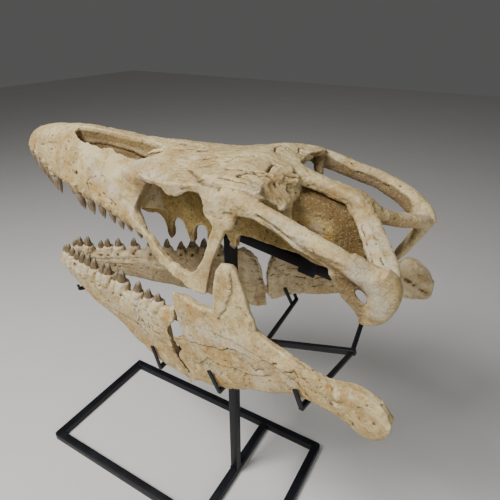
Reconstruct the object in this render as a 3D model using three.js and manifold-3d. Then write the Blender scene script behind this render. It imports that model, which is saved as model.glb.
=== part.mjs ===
// Fossil mosasaur skull on its steel museum stand, life size.
// Millimetres, +Z up. The origin is on the floor under the middle of the post.
// The snout points along -X and the left side of the skull faces -Y.

import * as THREE from 'three';
import { mergeVertices } from 'three/addons/utils/BufferGeometryUtils.js';
import Module from 'manifold-3d';

const wasm = await Module();
wasm.setup();

// ---------------------------------------------------------------- driving sizes

const GAP = 0.3; // air left between neighbouring pieces

const SNOUT_X = -676; // tip of the snout
const ORBIT_X = -128; // back of the snout, at the front of the eye openings
const MAXILLA_FRONT = -575; // suture between the premaxilla and the maxillae
const FRONTAL_FRONT = -190; // suture between the nostrils and the frontal
const PARIETAL_FRONT = 70; // suture between the frontal and the parietal
const ROOF_BACK = 150; // front edge of the upper temporal openings

const TUBE = 25; // main square steel tube of the stand
const ROD = 12; // thin square steel bar that carries the jaws
const BASE = { left: -619, right: 209, side: 215.5 }; // outer edges of the base frame
const SKULL_BAR_SLOPE = -0.156; // the top bar falls towards the back
const RAIL_SLOPE = 0.293; // the jaw rail rises towards the back

// Heights and half widths along the skull, as [x, value] stops.
const ROOF_TOP = [[-676, 998], [-664, 1015], [-640, 1032], [-600, 1050], [-533, 1066],
  [-400, 1077], [-250, 1072], [-100, 1072], [0, 1074], [60, 1075], [110, 1066], [160, 1052]];
const MARGIN_HALF = [[-676, 7], [-670, 14], [-650, 25], [-600, 40], [-500, 68], [-400, 97],
  [-300, 118], [-200, 140], [-128, 148]];
const MARGIN_Z = [[-676, 978], [-650, 982], [-620, 979], [-560, 958], [-500, 942],
  [-400, 937], [-300, 924], [-200, 911], [-128, 892]];
const BROW_HALF = [[-200, 96], [-150, 120], [-100, 143], [-40, 154], [20, 158], [110, 157],
  [160, 160]];
const BROW_Z = [[-200, 1030], [-150, 1024], [-100, 1024], [-40, 1031], [20, 1040], [60, 1045],
  [110, 1050], [160, 1048]];

// Teeth as [x, crown length] from front to back.
const UPPER_TEETH = [[-660, 22], [-630, 38], [-600, 30], [-563, 32], [-530, 36], [-489, 48],
  [-440, 22], [-399, 30], [-365, 46], [-326, 44], [-278, 36], [-233, 28], [-198, 25],
  [-170, 21], [-140, 14]];
const LOWER_TEETH = [[-620, 26], [-604, 38], [-584, 46], [-555, 46], [-517, 32], [-487, 38],
  [-457, 42], [-400, 36], [-360, 30], [-314, 42], [-276, 30], [-240, 44], [-205, 30],
  [-165, 44], [-129, 34], [-97, 32]];
const PALATE_TEETH = [[-138, 52], [-80, 46], [-24, 40], [32, 34]];

// ------------------------------------------------------------------- colours

const bone = new THREE.MeshStandardMaterial({ color: '#c9b691', roughness: 0.85, metalness: 0 });
const matrix = new THREE.MeshStandardMaterial({ color: '#937b4a', roughness: 0.95, metalness: 0 });
const steel = new THREE.MeshStandardMaterial({ color: '#16181d', roughness: 0.45, metalness: 0.6 });

// ------------------------------------------------------------------- helpers

/** Smooth reading of a row of [x, value] stops, held level past its ends. */
function along(stops, x) {
  if (x <= stops[0][0]) return stops[0][1];
  const last = stops.length - 1;
  if (x >= stops[last][0]) return stops[last][1];
  const i = stops.findIndex((stop, k) => k > 0 && x <= stop[0]) - 1;
  const slope = (k) => {
    const a = stops[Math.max(k - 1, 0)];
    const b = stops[Math.min(k + 1, last)];
    return (b[1] - a[1]) / (b[0] - a[0]);
  };
  const step = stops[i + 1][0] - stops[i][0];
  const t = (x - stops[i][0]) / step;
  const ease = t * t * (3 - 2 * t);
  const lift = step * (slope(i) * t * (1 - t) * (1 - t) - slope(i + 1) * t * t * (1 - t));
  return stops[i][1] * (1 - ease) + stops[i + 1][1] * ease + lift;
}

/** Evenly spaced numbers from a to b. */
function steps(a, b, count) {
  return Array.from({ length: count + 1 }, (_, i) => a + (b - a) * i / count);
}

/** Closed solid through a row of rings with the same number of points each. */
function skin(rings) {
  const sides = rings[0].length;
  const points = rings.flat();
  const faces = [];
  for (let r = 0; r < rings.length - 1; r += 1) {
    for (let s = 0; s < sides; s += 1) {
      const a = r * sides + s;
      const b = r * sides + (s + 1) % sides;
      faces.push(a, b, b + sides, a, b + sides, a + sides);
    }
  }
  const centre = (ring) => ring.reduce((sum, p) => sum.add(p), new THREE.Vector3())
    .divideScalar(sides);
  const first = points.length;
  points.push(centre(rings[0].map((p) => p.clone())));
  points.push(centre(rings[rings.length - 1].map((p) => p.clone())));
  const lastRing = (rings.length - 1) * sides;
  for (let s = 0; s < sides; s += 1) {
    const next = (s + 1) % sides;
    faces.push(first, next, s, first + 1, lastRing + s, lastRing + next);
  }
  return closed(points, faces);
}

/** Indexed geometry whose faces are turned to point out. */
function closed(points, faces) {
  let volume = 0;
  for (let i = 0; i < faces.length; i += 3) {
    const [a, b, c] = [points[faces[i]], points[faces[i + 1]], points[faces[i + 2]]];
    volume += a.dot(b.clone().cross(c));
  }
  if (volume < 0) faces.reverse();
  const geometry = new THREE.BufferGeometry().setFromPoints(points);
  geometry.setIndex(faces);
  return geometry;
}

/** Bent bar of oval section through stations [x, y, z, half width, half height].
 *  The half width is measured along `across`, as far as the bar's own run allows.
 *  `grow` makes it fatter all round, for a socket that leaves a little air. */
function limb(stations, { sides = 10, cuts = 12, across = [0, 1, 0], square = 2.4, grow = 0 } = {}) {
  const path = new THREE.CatmullRomCurve3(stations.map((s) => new THREE.Vector3(s[0], s[1], s[2])));
  const size = new THREE.CatmullRomCurve3(stations.map((s) => new THREE.Vector3(s[3], s[4], 0)));
  const rings = steps(0, 1, cuts).map((t) => {
    const centre = path.getPoint(t);
    const run = path.getTangent(t);
    const wide = new THREE.Vector3(...across);
    wide.addScaledVector(run, -wide.dot(run)).normalize();
    const high = new THREE.Vector3().crossVectors(run, wide);
    const half = size.getPoint(t);
    return steps(0, 2 * Math.PI, sides).slice(0, sides).map((angle) => {
      const c = Math.cos(angle);
      const s = Math.sin(angle);
      const bulge = (Math.abs(c) ** square + Math.abs(s) ** square) ** (-1 / square);
      return centre.clone().addScaledVector(wide, (half.x + grow) * c * bulge)
        .addScaledVector(high, (half.y + grow) * s * bulge);
    });
  });
  return skin(rings);
}

/** Curved conical tooth with its root sunk in the jaw. */
function tooth(root, tip, radius, lean = [0, 0, 0], sides = 4) {
  const a = new THREE.Vector3(...root);
  const b = new THREE.Vector3(...tip);
  const run = b.clone().sub(a).normalize();
  const wide = new THREE.Vector3(1, 0, 0).addScaledVector(run, -run.x).normalize();
  const high = new THREE.Vector3().crossVectors(run, wide);
  const bow = new THREE.Vector3(...lean);
  const ring = (t, r) => {
    const centre = a.clone().lerp(b, t).addScaledVector(bow, 4 * t * (1 - t));
    return steps(0, 2 * Math.PI, sides).slice(0, sides).map((angle) => centre.clone()
      .addScaledVector(wide, r * Math.cos(angle)).addScaledVector(high, 0.85 * r * Math.sin(angle)));
  };
  return skin([ring(0, radius), ring(0.62, 0.78 * radius), ring(1, 0.12 * radius)]);
}

function box(x0, x1, y0, y1, z0, z1) {
  const geometry = new THREE.BoxGeometry(x1 - x0, y1 - y0, z1 - z0);
  return geometry.translate((x0 + x1) / 2, (y0 + y1) / 2, (z0 + z1) / 2);
}

/** Straight square bar between two points. */
function bar(from, to, wide, high = wide) {
  const a = new THREE.Vector3(...from);
  const b = new THREE.Vector3(...to);
  const run = b.clone().sub(a);
  const geometry = new THREE.BoxGeometry(run.length(), wide, high);
  const x = run.clone().normalize();
  const y = new THREE.Vector3(0, 0, 1).cross(x);
  if (y.length() < 0.01) y.set(0, 1, 0);
  y.normalize();
  const z = x.clone().cross(y);
  const turn = new THREE.Matrix4().makeBasis(x, y, z).setPosition(a.add(b).multiplyScalar(0.5));
  return geometry.applyMatrix4(turn);
}

/** Outline in the XZ plane, given depth from y0 to y1. */
function slab(outline, y0, y1) {
  const shape = new THREE.Shape(outline.map(([x, z]) => new THREE.Vector2(x, z)));
  const geometry = new THREE.ExtrudeGeometry(shape, { depth: y1 - y0, bevelEnabled: false });
  return geometry.rotateX(Math.PI / 2).translate(0, y1, 0);
}

function solid(geometry) {
  const bare = geometry.clone();
  for (const name of Object.keys(bare.attributes)) {
    if (name !== 'position') bare.deleteAttribute(name);
  }
  const merged = mergeVertices(bare, 1e-4);
  return new wasm.Manifold(new wasm.Mesh({
    numProp: 3,
    vertProperties: new Float32Array(merged.attributes.position.array),
    triVerts: new Uint32Array(merged.index.array),
  }));
}

const asSolid = (piece) => (piece.isBufferGeometry ? solid(piece) : piece);
const join = (...pieces) => pieces.map(asSolid).reduce((sum, piece) => sum.add(piece));
const cut = (body, ...tools) => tools.map(asSolid)
  .reduce((rest, tool) => rest.subtract(tool), asSolid(body));
const keep = (body, region) => asSolid(body).intersect(asSolid(region));

/** Triangle mesh of a solid, as three.js geometry. */
function toGeometry(body) {
  if (body.isBufferGeometry) return body;
  const mesh = body.getMesh();
  const geometry = new THREE.BufferGeometry();
  geometry.setAttribute('position', new THREE.BufferAttribute(mesh.vertProperties, 3));
  geometry.setIndex(new THREE.BufferAttribute(mesh.triVerts, 1));
  return geometry;
}

/** The same solid moved a little, as a tool that leaves air beside it. */
const moved = (body, x, y, z) => solid(toGeometry(body).clone().translate(x, y, z));

const skull = new THREE.Group();

function addPart(name, body, material) {
  const geometry = toGeometry(body);
  geometry.computeVertexNormals();
  const mesh = new THREE.Mesh(geometry, material);
  mesh.name = name;
  skull.add(mesh);
}

const SIDES = [['left', -1], ['right', 1]];

// ------------------------------------------------------------ snout and roof

/** The snout is a half oval over a flat palate. */
function snoutSolid() {
  const places = [SNOUT_X, -672, -663, -648, -625, -595, -550, -490, -420, -345, -270, -200, -160,
    ORBIT_X];
  return skin(places.map((x) => {
    const half = along(MARGIN_HALF, x);
    const low = along(MARGIN_Z, x);
    const rise = along(ROOF_TOP, x) - low;
    const arch = steps(-90, 90, 10).map((deg) => {
      const a = deg * Math.PI / 180;
      return new THREE.Vector3(x, half * Math.sin(a), low + rise * Math.abs(Math.cos(a)) ** 0.92);
    });
    const palate = [0.7, -0.7].map((f) => new THREE.Vector3(x, half * f, low + 8));
    return arch.concat(palate);
  }));
}

/** The roof over the eyes is a low vault with a rounded rim that droops over the eye. */
function roofSolid() {
  return skin(steps(-185, ROOF_BACK, 9).map((x) => {
    const half = along(BROW_HALF, x);
    const rim = along(BROW_Z, x);
    const crown = along(ROOF_TOP, x) - rim;
    const droop = 10 * Math.exp(-(((x + 8) / 26) ** 2));
    const top = steps(-1, 1, 8).map((f) => new THREE.Vector3(x, half * f,
      rim + crown * Math.cos(f * Math.PI / 2)));
    const under = [0.97, 0.72, -0.72, -0.97].map((f) => new THREE.Vector3(x, half * f,
      rim - 13 - droop * Math.abs(f) ** 6 + 0.45 * crown * Math.cos(f * Math.PI / 2)));
    return top.concat(under);
  }));
}

/** Long nostril opening beside the midline bar, cut down to a floor inside the snout. */
function nostril(side) {
  const stops = [[-424, 20, 46], [-412, 14, 57], [-370, 13, 63], [-300, 13, 68], [-235, 15, 75],
    [-180, 22, 74], [-145, 36, 60], [-128, 46, 52]];
  return skin(stops.map(([x, inner, outer]) => [[inner, 1016], [inner, 1110], [outer + 12, 1110],
    [outer, 1030]].map(([y, z]) => new THREE.Vector3(x, y * side, z))));
}

/** Outline of the eye opening, seen from the side. */
const ORBIT = [[-60, 1100], [-126, 1100], [-126, 1000], [-138, 975], [-144, 955], [-142, 940],
  [-128, 926], [-100, 900], [-60, 900]];
const ORBIT_DEPTH = 48; // the eye openings reach this close to the midline

/** Hollow that carries the eye socket forward under the roof, open below. */
function socket(side) {
  return new THREE.CylinderGeometry(1, 1, 300, 12).rotateX(Math.PI / 2).scale(88, 42, 1)
    .translate(-118, side * 90, 845);
}

const head = (() => {
  const eyes = SIDES.map(([, side]) => (side > 0
    ? slab(ORBIT, ORBIT_DEPTH, 220) : slab(ORBIT, -220, -ORBIT_DEPTH)));
  const sockets = SIDES.map(([, side]) => socket(side));
  const nostrils = SIDES.map(([, side]) => nostril(side));
  return cut(join(cut(snoutSolid(), ...eyes, ...sockets), roofSolid()), ...nostrils);
})();

/** Block of space on one side of the midline, further out than `from`. */
function sideRegion(side, x0, x1, from, z0 = 700, z1 = 1200) {
  const [a, b] = side > 0 ? [from, 300] : [-300, -from];
  return box(x0, x1, a, b, z0, z1);
}

function upperTooth([x, crown], side) {
  const radius = 4.5 + crown * 0.13;
  const y = side * (along(MARGIN_HALF, x) - 8);
  const z = along(MARGIN_Z, x);
  return tooth([x, y - side * 0.5 * radius, z + 11], [x + 0.16 * crown, y, z - crown], radius,
    [-0.07 * crown, 0, 0]);
}

/** Bar from the brow over the upper temporal opening to the back corner of the skull.
 *  The right corner has kept a little more of its height than the left. */
function arcadeSolid(side, grow = 0) {
  const s = side;
  const corner = s > 0 ? [[362, 170, 963, 20, 22], [402, 150, 944, 22, 23]]
    : [[358, -168, 950, 20, 21], [394, -148, 933, 22, 21]];
  const beam = limb([[52, s * 146, 1012, 15, 26], [85, s * 150, 1017, 14, 32],
    [120, s * 153, 1023, 13, 26], [160, s * 158, 1023, 12, 22], [200, s * 164, 1012, 12, 21],
    [240, s * 173, 998, 12, 22], [280, s * 181, 987, 13, 21], [320, s * 179, 972, 15, 21],
    ...corner], { sides: 8, cuts: 13, grow });
  const outline = [[24, 1052], [150, 1056], [128, 996], [95, 966], [66, 966], [56, 1004], [38, 1018]];
  return join(beam, s > 0 ? slab(outline, 134, 162) : slab(outline, -162, -134));
}

/** V-shaped bone under the eye. */
function jugalSolid(side, grow = 0) {
  const s = side;
  return join(
    limb([[-134, s * 143, 938, 7, 20], [-112, s * 149, 905, 8, 13], [-84, s * 152, 873, 8, 13],
      [-48, s * 155, 845, 8, 14], [-8, s * 159, 824, 8, 15], [22, s * 163, 821, 7, 10]],
    { sides: 6, cuts: 8, grow }),
    limb([[22, s * 162, 818, 6, 12], [32, s * 162, 840, 8, 17], [46, s * 161, 880, 8, 13],
      [62, s * 158, 922, 8, 13], [78, s * 156, 958, 8, 13], [86, s * 154, 978, 8, 16]],
    { sides: 6, cuts: 7, grow }),
  );
}

/** Crest behind the roof, with two rami that run out to the back corners. */
function crestSolid(grow = 0) {
  const crest = limb([[110, 0, 1048, 70, 16], [150, 0, 1044, 42, 16], [190, 0, 1032, 28, 16],
    [240, 0, 1016, 27, 15], [285, 0, 998, 30, 15], [306, 0, 986, 30, 14]], { sides: 8, cuts: 7, grow });
  const rami = SIDES.map(([, s]) => limb([[292, s * 6, 992, 20, 15], [316, s * 26, 976, 20, 15],
    [336, s * 54, 967, 21, 14], [358, s * 84, 956, 22, 13], [380, s * 116, 943, 24, 13],
    [396, s * 146, 936, 22, 14]], { sides: 8, cuts: 6, across: [1, 0, 0], grow }));
  return join(crest, ...rami);
}

// Ear-shaped bones of the jaw hinge as [x, y, z, half length, half thickness], bottom to top,
// with the way their plates face. The two sit turned differently under the roof corners.
const QUADRATES = {
  left: {
    stops: [[374, -136, 838, 10, 11], [378, -138, 846, 20, 16], [380, -139, 857, 26, 19],
      [376, -141, 871, 32, 17], [368, -143, 887, 41, 14], [361, -145, 903, 48, 13],
      [356, -147, 921, 48, 12], [352, -148, 934, 34, 11]],
    across: [0.78, 0.62, 0],
    notch: [355, -146, 897],
  },
  right: {
    stops: [[357, 127, 848, 24, 11], [364, 130, 858, 30, 14], [373, 133, 873, 34, 13],
      [384, 138, 893, 36, 14], [392, 142, 910, 36, 17], [394, 144, 922, 30, 15]],
    across: [0.3, -0.95, 0],
    notch: [376, 112, 884],
  },
};

/** Ear-shaped plate with an oval notch right through it. */
function quadrateSolid(word, grow = 0) {
  const { stops, across, notch } = QUADRATES[word];
  const plate = limb(stops, { sides: 10, cuts: 8, square: 2.6, across, grow });
  const turn = Math.atan2(across[1], across[0]);
  const hole = new THREE.CylinderGeometry(10, 10, 160, 8).scale(1, 1, 1.6)
    .rotateX(word === 'left' ? -0.5 : 0).rotateZ(turn).translate(...notch);
  return cut(plate, hole);
}

/** Braincase and palate: one block down the middle. */
function braincaseSolid() {
  const stops = [[-262, 904, 940, 30], [-205, 890, 960, 42], [-120, 888, 1044, 45],
    [0, 886, 1050, 46], [100, 888, 1038, 46], [150, 887, 1025, 45], [196, 884, 1012, 44],
    [240, 868, 998, 42], [290, 866, 978, 40], [326, 880, 962, 34]];
  const read = (x, k) => along(stops.map((stop) => [stop[0], stop[k]]), x);
  return skin(steps(-262, 326, 11).map((x) => {
    const [low, top, half] = [read(x, 1), read(x, 2), read(x, 3)];
    return [[-1, 0.06], [-0.95, 0.6], [-0.6, 1], [0.6, 1], [0.95, 0.6], [1, 0.06], [0.7, 0],
      [-0.7, 0]]
      .map(([y, z]) => new THREE.Vector3(x, half * y, low + (top - low) * z));
  }));
}

// Cells that part the roof into its bones.
const NASAL_BAR_HALF = 13;
const NASAL_BAR_FLOOR = 1016;
const BONE_SEAM_Z = 962; // the snout side belongs to the maxilla below this height
const POSTORBITAL_X = 24; // suture between the bones before and behind the eye
const TABLE_HALF = 92; // half width of the frontal and parietal table

const frontTeeth = UPPER_TEETH.filter(([x]) => x < MAXILLA_FRONT);
const cheekTeeth = UPPER_TEETH.filter(([x]) => x > MAXILLA_FRONT);
const premaxillaRegion = (air) => join(
  box(-800, MAXILLA_FRONT + air, -300, 300, 700, 1200),
  box(-600, FRONTAL_FRONT + air, -NASAL_BAR_HALF - air, NASAL_BAR_HALF + air,
    NASAL_BAR_FLOOR - air, 1200),
);

addPart('premaxilla', join(keep(head, premaxillaRegion(0)),
  ...SIDES.flatMap(([, side]) => frontTeeth.map((stop) => upperTooth(stop, side)))), bone);

for (const [word, side] of SIDES) {
  const cheek = sideRegion(side, MAXILLA_FRONT, FRONTAL_FRONT, GAP / 2);
  const lowCheek = sideRegion(side, FRONTAL_FRONT - 1, 0, GAP / 2, 700, BONE_SEAM_Z);
  const maxilla = cut(keep(head, join(cheek, lowCheek)), premaxillaRegion(GAP));
  addPart(`maxilla_${word}`, cut(join(maxilla, ...cheekTeeth.map((stop) => upperTooth(stop, side))),
    jugalSolid(side, GAP)), bone);
  const brow = sideRegion(side, FRONTAL_FRONT + GAP, POSTORBITAL_X, TABLE_HALF + GAP,
    BONE_SEAM_Z + GAP);
  addPart(`prefrontal_${word}`, cut(keep(head, brow), jugalSolid(side, GAP)), bone);
  addPart(`jugal_${word}`, jugalSolid(side), bone);
}
addPart('frontal', keep(head, box(FRONTAL_FRONT + GAP, PARIETAL_FRONT, -TABLE_HALF, TABLE_HALF,
  BONE_SEAM_Z + GAP, 1200)), bone);

for (const [word, side] of SIDES) {
  const behindEye = sideRegion(side, POSTORBITAL_X + GAP, 600, 0);
  const browCorner = keep(head, sideRegion(side, POSTORBITAL_X + GAP, 160, TABLE_HALF + GAP,
    BONE_SEAM_Z));
  addPart(`temporal_arcade_${word}`, cut(keep(join(browCorner, arcadeSolid(side)), behindEye),
    jugalSolid(side, GAP)), bone);
}
const parietal = cut(join(keep(head, box(PARIETAL_FRONT + GAP, 200, -TABLE_HALF, TABLE_HALF,
  BONE_SEAM_Z, 1200)), crestSolid()), arcadeSolid(-1, GAP), arcadeSolid(1, GAP));
addPart('parietal', parietal, bone);

for (const [word, side] of SIDES) {
  addPart(`quadrate_${word}`, cut(quadrateSolid(word), arcadeSolid(side, GAP), crestSolid(GAP)),
    bone);
}

// -------------------------------------------------------------- skull supports

const BAR_END = 258; // back end of the top bar
const barHeight = (x) => 876 + SKULL_BAR_SLOPE * x;
const skullBar = (wide) => bar([-TUBE / 2, 0, barHeight(-TUBE / 2)], [BAR_END, 0, barHeight(BAR_END)],
  wide);
const SADDLE = { from: 184, to: 222, half: 18, low: 829, high: 892 };
const saddleBlock = (air) => box(SADDLE.from - air, SADDLE.to + air, -SADDLE.half - air,
  SADDLE.half + air, SADDLE.low, SADDLE.high + air);

const palateTeeth = SIDES.flatMap(([, s]) => PALATE_TEETH.map(([x, crown]) => tooth(
  [x, s * 34, 902], [x + 0.1 * crown, s * 41, 890 - crown], 7 + crown * 0.12,
  [-0.05 * crown, 0, 0])));
addPart('braincase_and_palate', cut(join(braincaseSolid(), ...palateTeeth), moved(head, 0, 0, -GAP),
  moved(head, GAP, 0, 0), moved(parietal, 0, 0, -GAP), crestSolid(GAP), skullBar(TUBE + 2 * GAP),
  saddleBlock(GAP), box(-TUBE / 2 - GAP, TUBE / 2 + GAP, -TUBE / 2 - GAP, TUBE / 2 + GAP, 800, 880)),
matrix);

// ------------------------------------------------------------------ lower jaws

const JAW_HALF = [[-636, 8], [-600, 21], [-500, 53], [-400, 82], [-300, 105], [-200, 134],
  [-100, 156], [0, 171], [100, 188], [200, 204], [300, 219], [450, 236]];
const DENTARY_TOP = [[-628, 644], [-600, 652], [-550, 661], [-450, 676], [-350, 694], [-250, 705],
  [-150, 721], [-90, 735], [-50, 742]];
const DENTARY_LOW = [[-628, 622], [-612, 608], [-586, 597], [-540, 588], [-480, 579], [-400, 575],
  [-300, 572], [-200, 560], [-100, 554], [0, 556]];
const HIND_TOP = [[-60, 768], [-44, 784], [0, 788], [50, 794], [110, 806], [160, 806], [190, 796],
  [240, 780], [300, 770], [340, 767], [380, 783], [410, 784], [434, 772], [452, 744]];
const HIND_LOW = [[-60, 564], [0, 576], [50, 584], [110, 605], [175, 643], [224, 667], [266, 692],
  [321, 705], [370, 702], [402, 690], [424, 690], [444, 706], [452, 730]];

// Edges where the two bones of each jaw meet, from top to bottom.
const JAW_JOINTS = {
  left: {
    front: [[-52, 1000], [-52, 717], [-76, 668], [-70, 640], [-52, 614], [-14, 583], [-8, 500]],
    hind: [[-50, 1000], [-50, 752], [-46, 718], [-22, 698], [-32, 668], [-63, 642], [-40, 614],
      [-4, 580], [-2, 500]],
  },
  right: {
    front: [[-60, 1000], [-60, 738], [-30, 728], [-22, 703], [-11, 681], [-13, 657], [-4, 600],
      [-2, 500]],
    hind: [[75, 1000], [72, 800], [19, 731], [9, 700], [2, 664], [4, 634], [2, 598], [16, 584],
      [20, 500]],
  },
};

/** Plate between a run of edge points and a far end, across the jaw. */
function jointRegion(edge, farX) {
  return slab([...edge, [farX, 500], [farX, 1000]], -400, 400);
}

/** A jaw bone is a plate that follows the splay of the jaw, thicker along its middle. */
function jawPlate(side, places, topStops, lowStops, thickAt, grow = 0) {
  return skin(places.map((x) => {
    const top = along(topStops, x) + grow;
    const low = along(lowStops, x) - grow;
    const half = thickAt(x) / 2 + grow;
    const y = side * along(JAW_HALF, x);
    return [[-0.5, 1], [-1, 0.72], [-0.95, 0.3], [-0.35, 0], [0.35, 0], [0.85, 0.3], [0.85, 0.72],
      [0.4, 1]].map(([f, g]) => new THREE.Vector3(x, y - side * half * f, low + (top - low) * g));
  }));
}

function lowerTooth([x, crown], side) {
  const y = side * (along(JAW_HALF, x) + 1);
  const z = along(DENTARY_TOP, x);
  return tooth([x, y, z - 12], [x + 0.2 * crown, y - side * 2, z + crown],
    4 + crown * 0.13, [-0.07 * crown, 0, 0]);
}

const DENTARY_PLACES = [-630, -623, -608, -580, -530, -465, -390, -310, -230, -150, -70, 10];
const HIND_PLACES = [-64, -20, 30, 80, 130, 180, 225, 270, 315, 355, 390, 418, 440, 452];
// The right hind jaw has lost its last few millimetres.
const dentaryPlate = (side, grow = 0) => jawPlate(side, DENTARY_PLACES, DENTARY_TOP, DENTARY_LOW,
  (x) => Math.min(34, 17 + 0.06 * (x + 650)), grow);
const shorten = (x, side) => (side > 0 && x > 300 ? 300 + 0.9 * (x - 300) : x);
const hindPlate = (side, grow = 0) => jawPlate(side, HIND_PLACES.map((x) => shorten(x, side)),
  HIND_TOP.map(([x, z]) => [shorten(x, side), z]), HIND_LOW.map(([x, z]) => [shorten(x, side), z]),
  (x) => 26 + 14 * Math.exp(-(((x - 405) / 55) ** 2)), grow);

/** Tall leaf of bone that stands on the jaw behind the teeth. */
function coronoidSolid(side, grow = 0) {
  const stops = [[780, 136, 50, 10], [799, 134, 55, 12], [818, 127, 48, 12], [853, 122, 37, 11],
    [877, 121, 27, 9], [897, 121, 16, 7], [906, 119, 6, 4]];
  return limb(stops.map(([z, x, long, thick]) => [x, side * (along(JAW_HALF, x) + 3), z, long, thick]),
    { sides: 8, cuts: 7, across: [1, side * 0.17, 0], grow });
}

for (const [word, side] of SIDES) {
  const { front, hind } = JAW_JOINTS[word];
  const teeth = LOWER_TEETH.filter(([x]) => x < front[1][0] - 12).map((stop) => lowerTooth(stop, side));
  addPart(`dentary_${word}`, cut(keep(join(dentaryPlate(side), ...teeth), jointRegion(front, -800)),
    sideRegion(-side, -800, 0, -GAP / 2)), bone);
  addPart(`hind_jaw_${word}`, cut(keep(hindPlate(side), jointRegion(hind, 600)),
    coronoidSolid(side, GAP)), bone);
  addPart(`coronoid_${word}`, coronoidSolid(side), bone);
}

// ---------------------------------------------------------------------- stand

const { left, right, side: flank } = BASE;
addPart('stand_base_front', box(left, left + TUBE, -flank, flank, 0, TUBE), steel);
addPart('stand_base_rear', box(right - TUBE, right, -flank, flank, 0, TUBE), steel);
for (const [word, s] of SIDES) {
  const [y0, y1] = s > 0 ? [flank - TUBE, flank] : [-flank, -flank + TUBE];
  addPart(`stand_base_${word}`, box(left + TUBE + GAP, right - TUBE - GAP, y0, y1, 0, TUBE), steel);
}
const inside = flank - TUBE - GAP;
addPart('stand_base_cross', box(-TUBE / 2, TUBE / 2, -inside, inside, 0, TUBE), steel);
addPart('stand_post', cut(box(-TUBE / 2, TUBE / 2, -TUBE / 2, TUBE / 2, TUBE + GAP, 900),
  bar([-80, 0, barHeight(-80) + 30], [80, 0, barHeight(80) + 30], 60, TUBE + 60 + 2 * GAP)), steel);
addPart('stand_skull_bar', skullBar(TUBE), steel);
addPart('stand_skull_saddle', cut(saddleBlock(0), bar([0, 0, barHeight(0)], [400, 0, barHeight(400)],
  TUBE + 2 * GAP)), steel);

// The jaws hang on arms that leave a thin rail on both sides of the post.
const railHeight = (x) => 556.5 + RAIL_SLOPE * x;
const postFace = TUBE / 2 + GAP;
addPart('stand_jaw_rail', cut(bar([0, 0, railHeight(0)], [326, 0, railHeight(326)], ROD, ROD + 2),
  box(-40, postFace, -40, 40, 500, 620)), steel);
addPart('stand_chin_rod', cut(bar([0, 0, 548], [-535, 0, 554], ROD), box(-postFace, 40, -40, 40, 500,
  620)), steel);

// Each cradle is an arm with a strip up each face of the jaw: place on the rail as [x, z],
// foot under the jaw as [x, z], the tops of the strips, and half the thickness of the jaw.
const CRADLES = {
  chin: { rail: [-520, 554], foot: [-522, 574], tip: [-526, 588], half: 13 },
  front: { rail: [-104, 552], foot: [-104, 545], tip: [-122, 606], half: 17 },
  middle: { rail: [100, railHeight(100)], foot: [92, 592], tip: [67, 641], half: 14 },
  rear: { rail: [318, railHeight(318)], foot: [296, 688], tip: [281, 726], half: 14 },
};
const STRIP = 4; // thickness of the strips
const railRoom = box(-700, 500, -ROD / 2 - GAP, ROD / 2 + GAP, 400, 800);
for (const [word, side] of SIDES) {
  for (const [name, { rail, foot, tip, half }] of Object.entries(CRADLES)) {
    const reach = along(JAW_HALF, foot[0]);
    const plate = foot[0] > 0 ? hindPlate(side, GAP) : dentaryPlate(side, GAP);
    const start = new THREE.Vector3(rail[0], 0, rail[1]);
    const end = new THREE.Vector3(foot[0], side * (reach + half + STRIP), foot[1]);
    const arm = bar(start.toArray(), end.toArray(), 10);
    const strips = [reach - half - STRIP / 2, reach + half + STRIP / 2].map((y) => {
      const root = start.clone().lerp(end, (side * y - start.y) / (end.y - start.y));
      return bar(root.toArray(), [tip[0], side * y, tip[1]], STRIP, 10);
    });
    addPart(`stand_${name}_cradle_${word}`, cut(join(arm, ...strips), plate, railRoom), steel);
  }
}

export default skull;
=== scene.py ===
import itertools
import math

import bpy
import numpy as np
from mathutils import Matrix, Vector


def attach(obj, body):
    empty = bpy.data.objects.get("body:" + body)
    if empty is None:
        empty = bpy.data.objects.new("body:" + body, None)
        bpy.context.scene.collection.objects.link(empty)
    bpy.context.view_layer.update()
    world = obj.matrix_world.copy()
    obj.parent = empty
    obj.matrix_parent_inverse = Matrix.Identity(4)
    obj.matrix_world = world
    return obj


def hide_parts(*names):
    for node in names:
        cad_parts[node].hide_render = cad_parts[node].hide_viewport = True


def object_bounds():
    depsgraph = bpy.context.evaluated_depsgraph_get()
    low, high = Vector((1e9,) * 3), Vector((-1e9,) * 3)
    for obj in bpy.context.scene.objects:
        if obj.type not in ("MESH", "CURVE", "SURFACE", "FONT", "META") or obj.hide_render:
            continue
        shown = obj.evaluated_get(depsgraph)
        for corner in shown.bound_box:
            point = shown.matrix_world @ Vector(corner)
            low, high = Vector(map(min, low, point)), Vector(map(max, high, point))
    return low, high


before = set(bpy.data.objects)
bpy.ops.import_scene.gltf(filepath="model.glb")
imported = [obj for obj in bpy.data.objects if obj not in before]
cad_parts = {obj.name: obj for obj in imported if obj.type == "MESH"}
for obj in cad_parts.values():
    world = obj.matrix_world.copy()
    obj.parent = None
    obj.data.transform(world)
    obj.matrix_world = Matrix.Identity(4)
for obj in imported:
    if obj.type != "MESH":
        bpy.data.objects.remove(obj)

# Fossil mosasaur skull on its steel stand, in millimetres until a mesh is made, which is
# in metres. The snout points along -X and the left side of the skull faces -Y.
# The bones are laid up as skins through measured rings, melted into one skin and carved
# point by point, because hand extrusion can't give worn bone. Teeth and steel are
# modelled by hand operators.

cad_box = [list(corner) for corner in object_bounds()]
MM = 0.001
SIDES = (("left", -1), ("right", 1))
BOX_LOW, BOX_HIGH = (np.array(corner) / MM for corner in cad_box)

# ------------------------------------------------------------------ sizes of the bones

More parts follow.
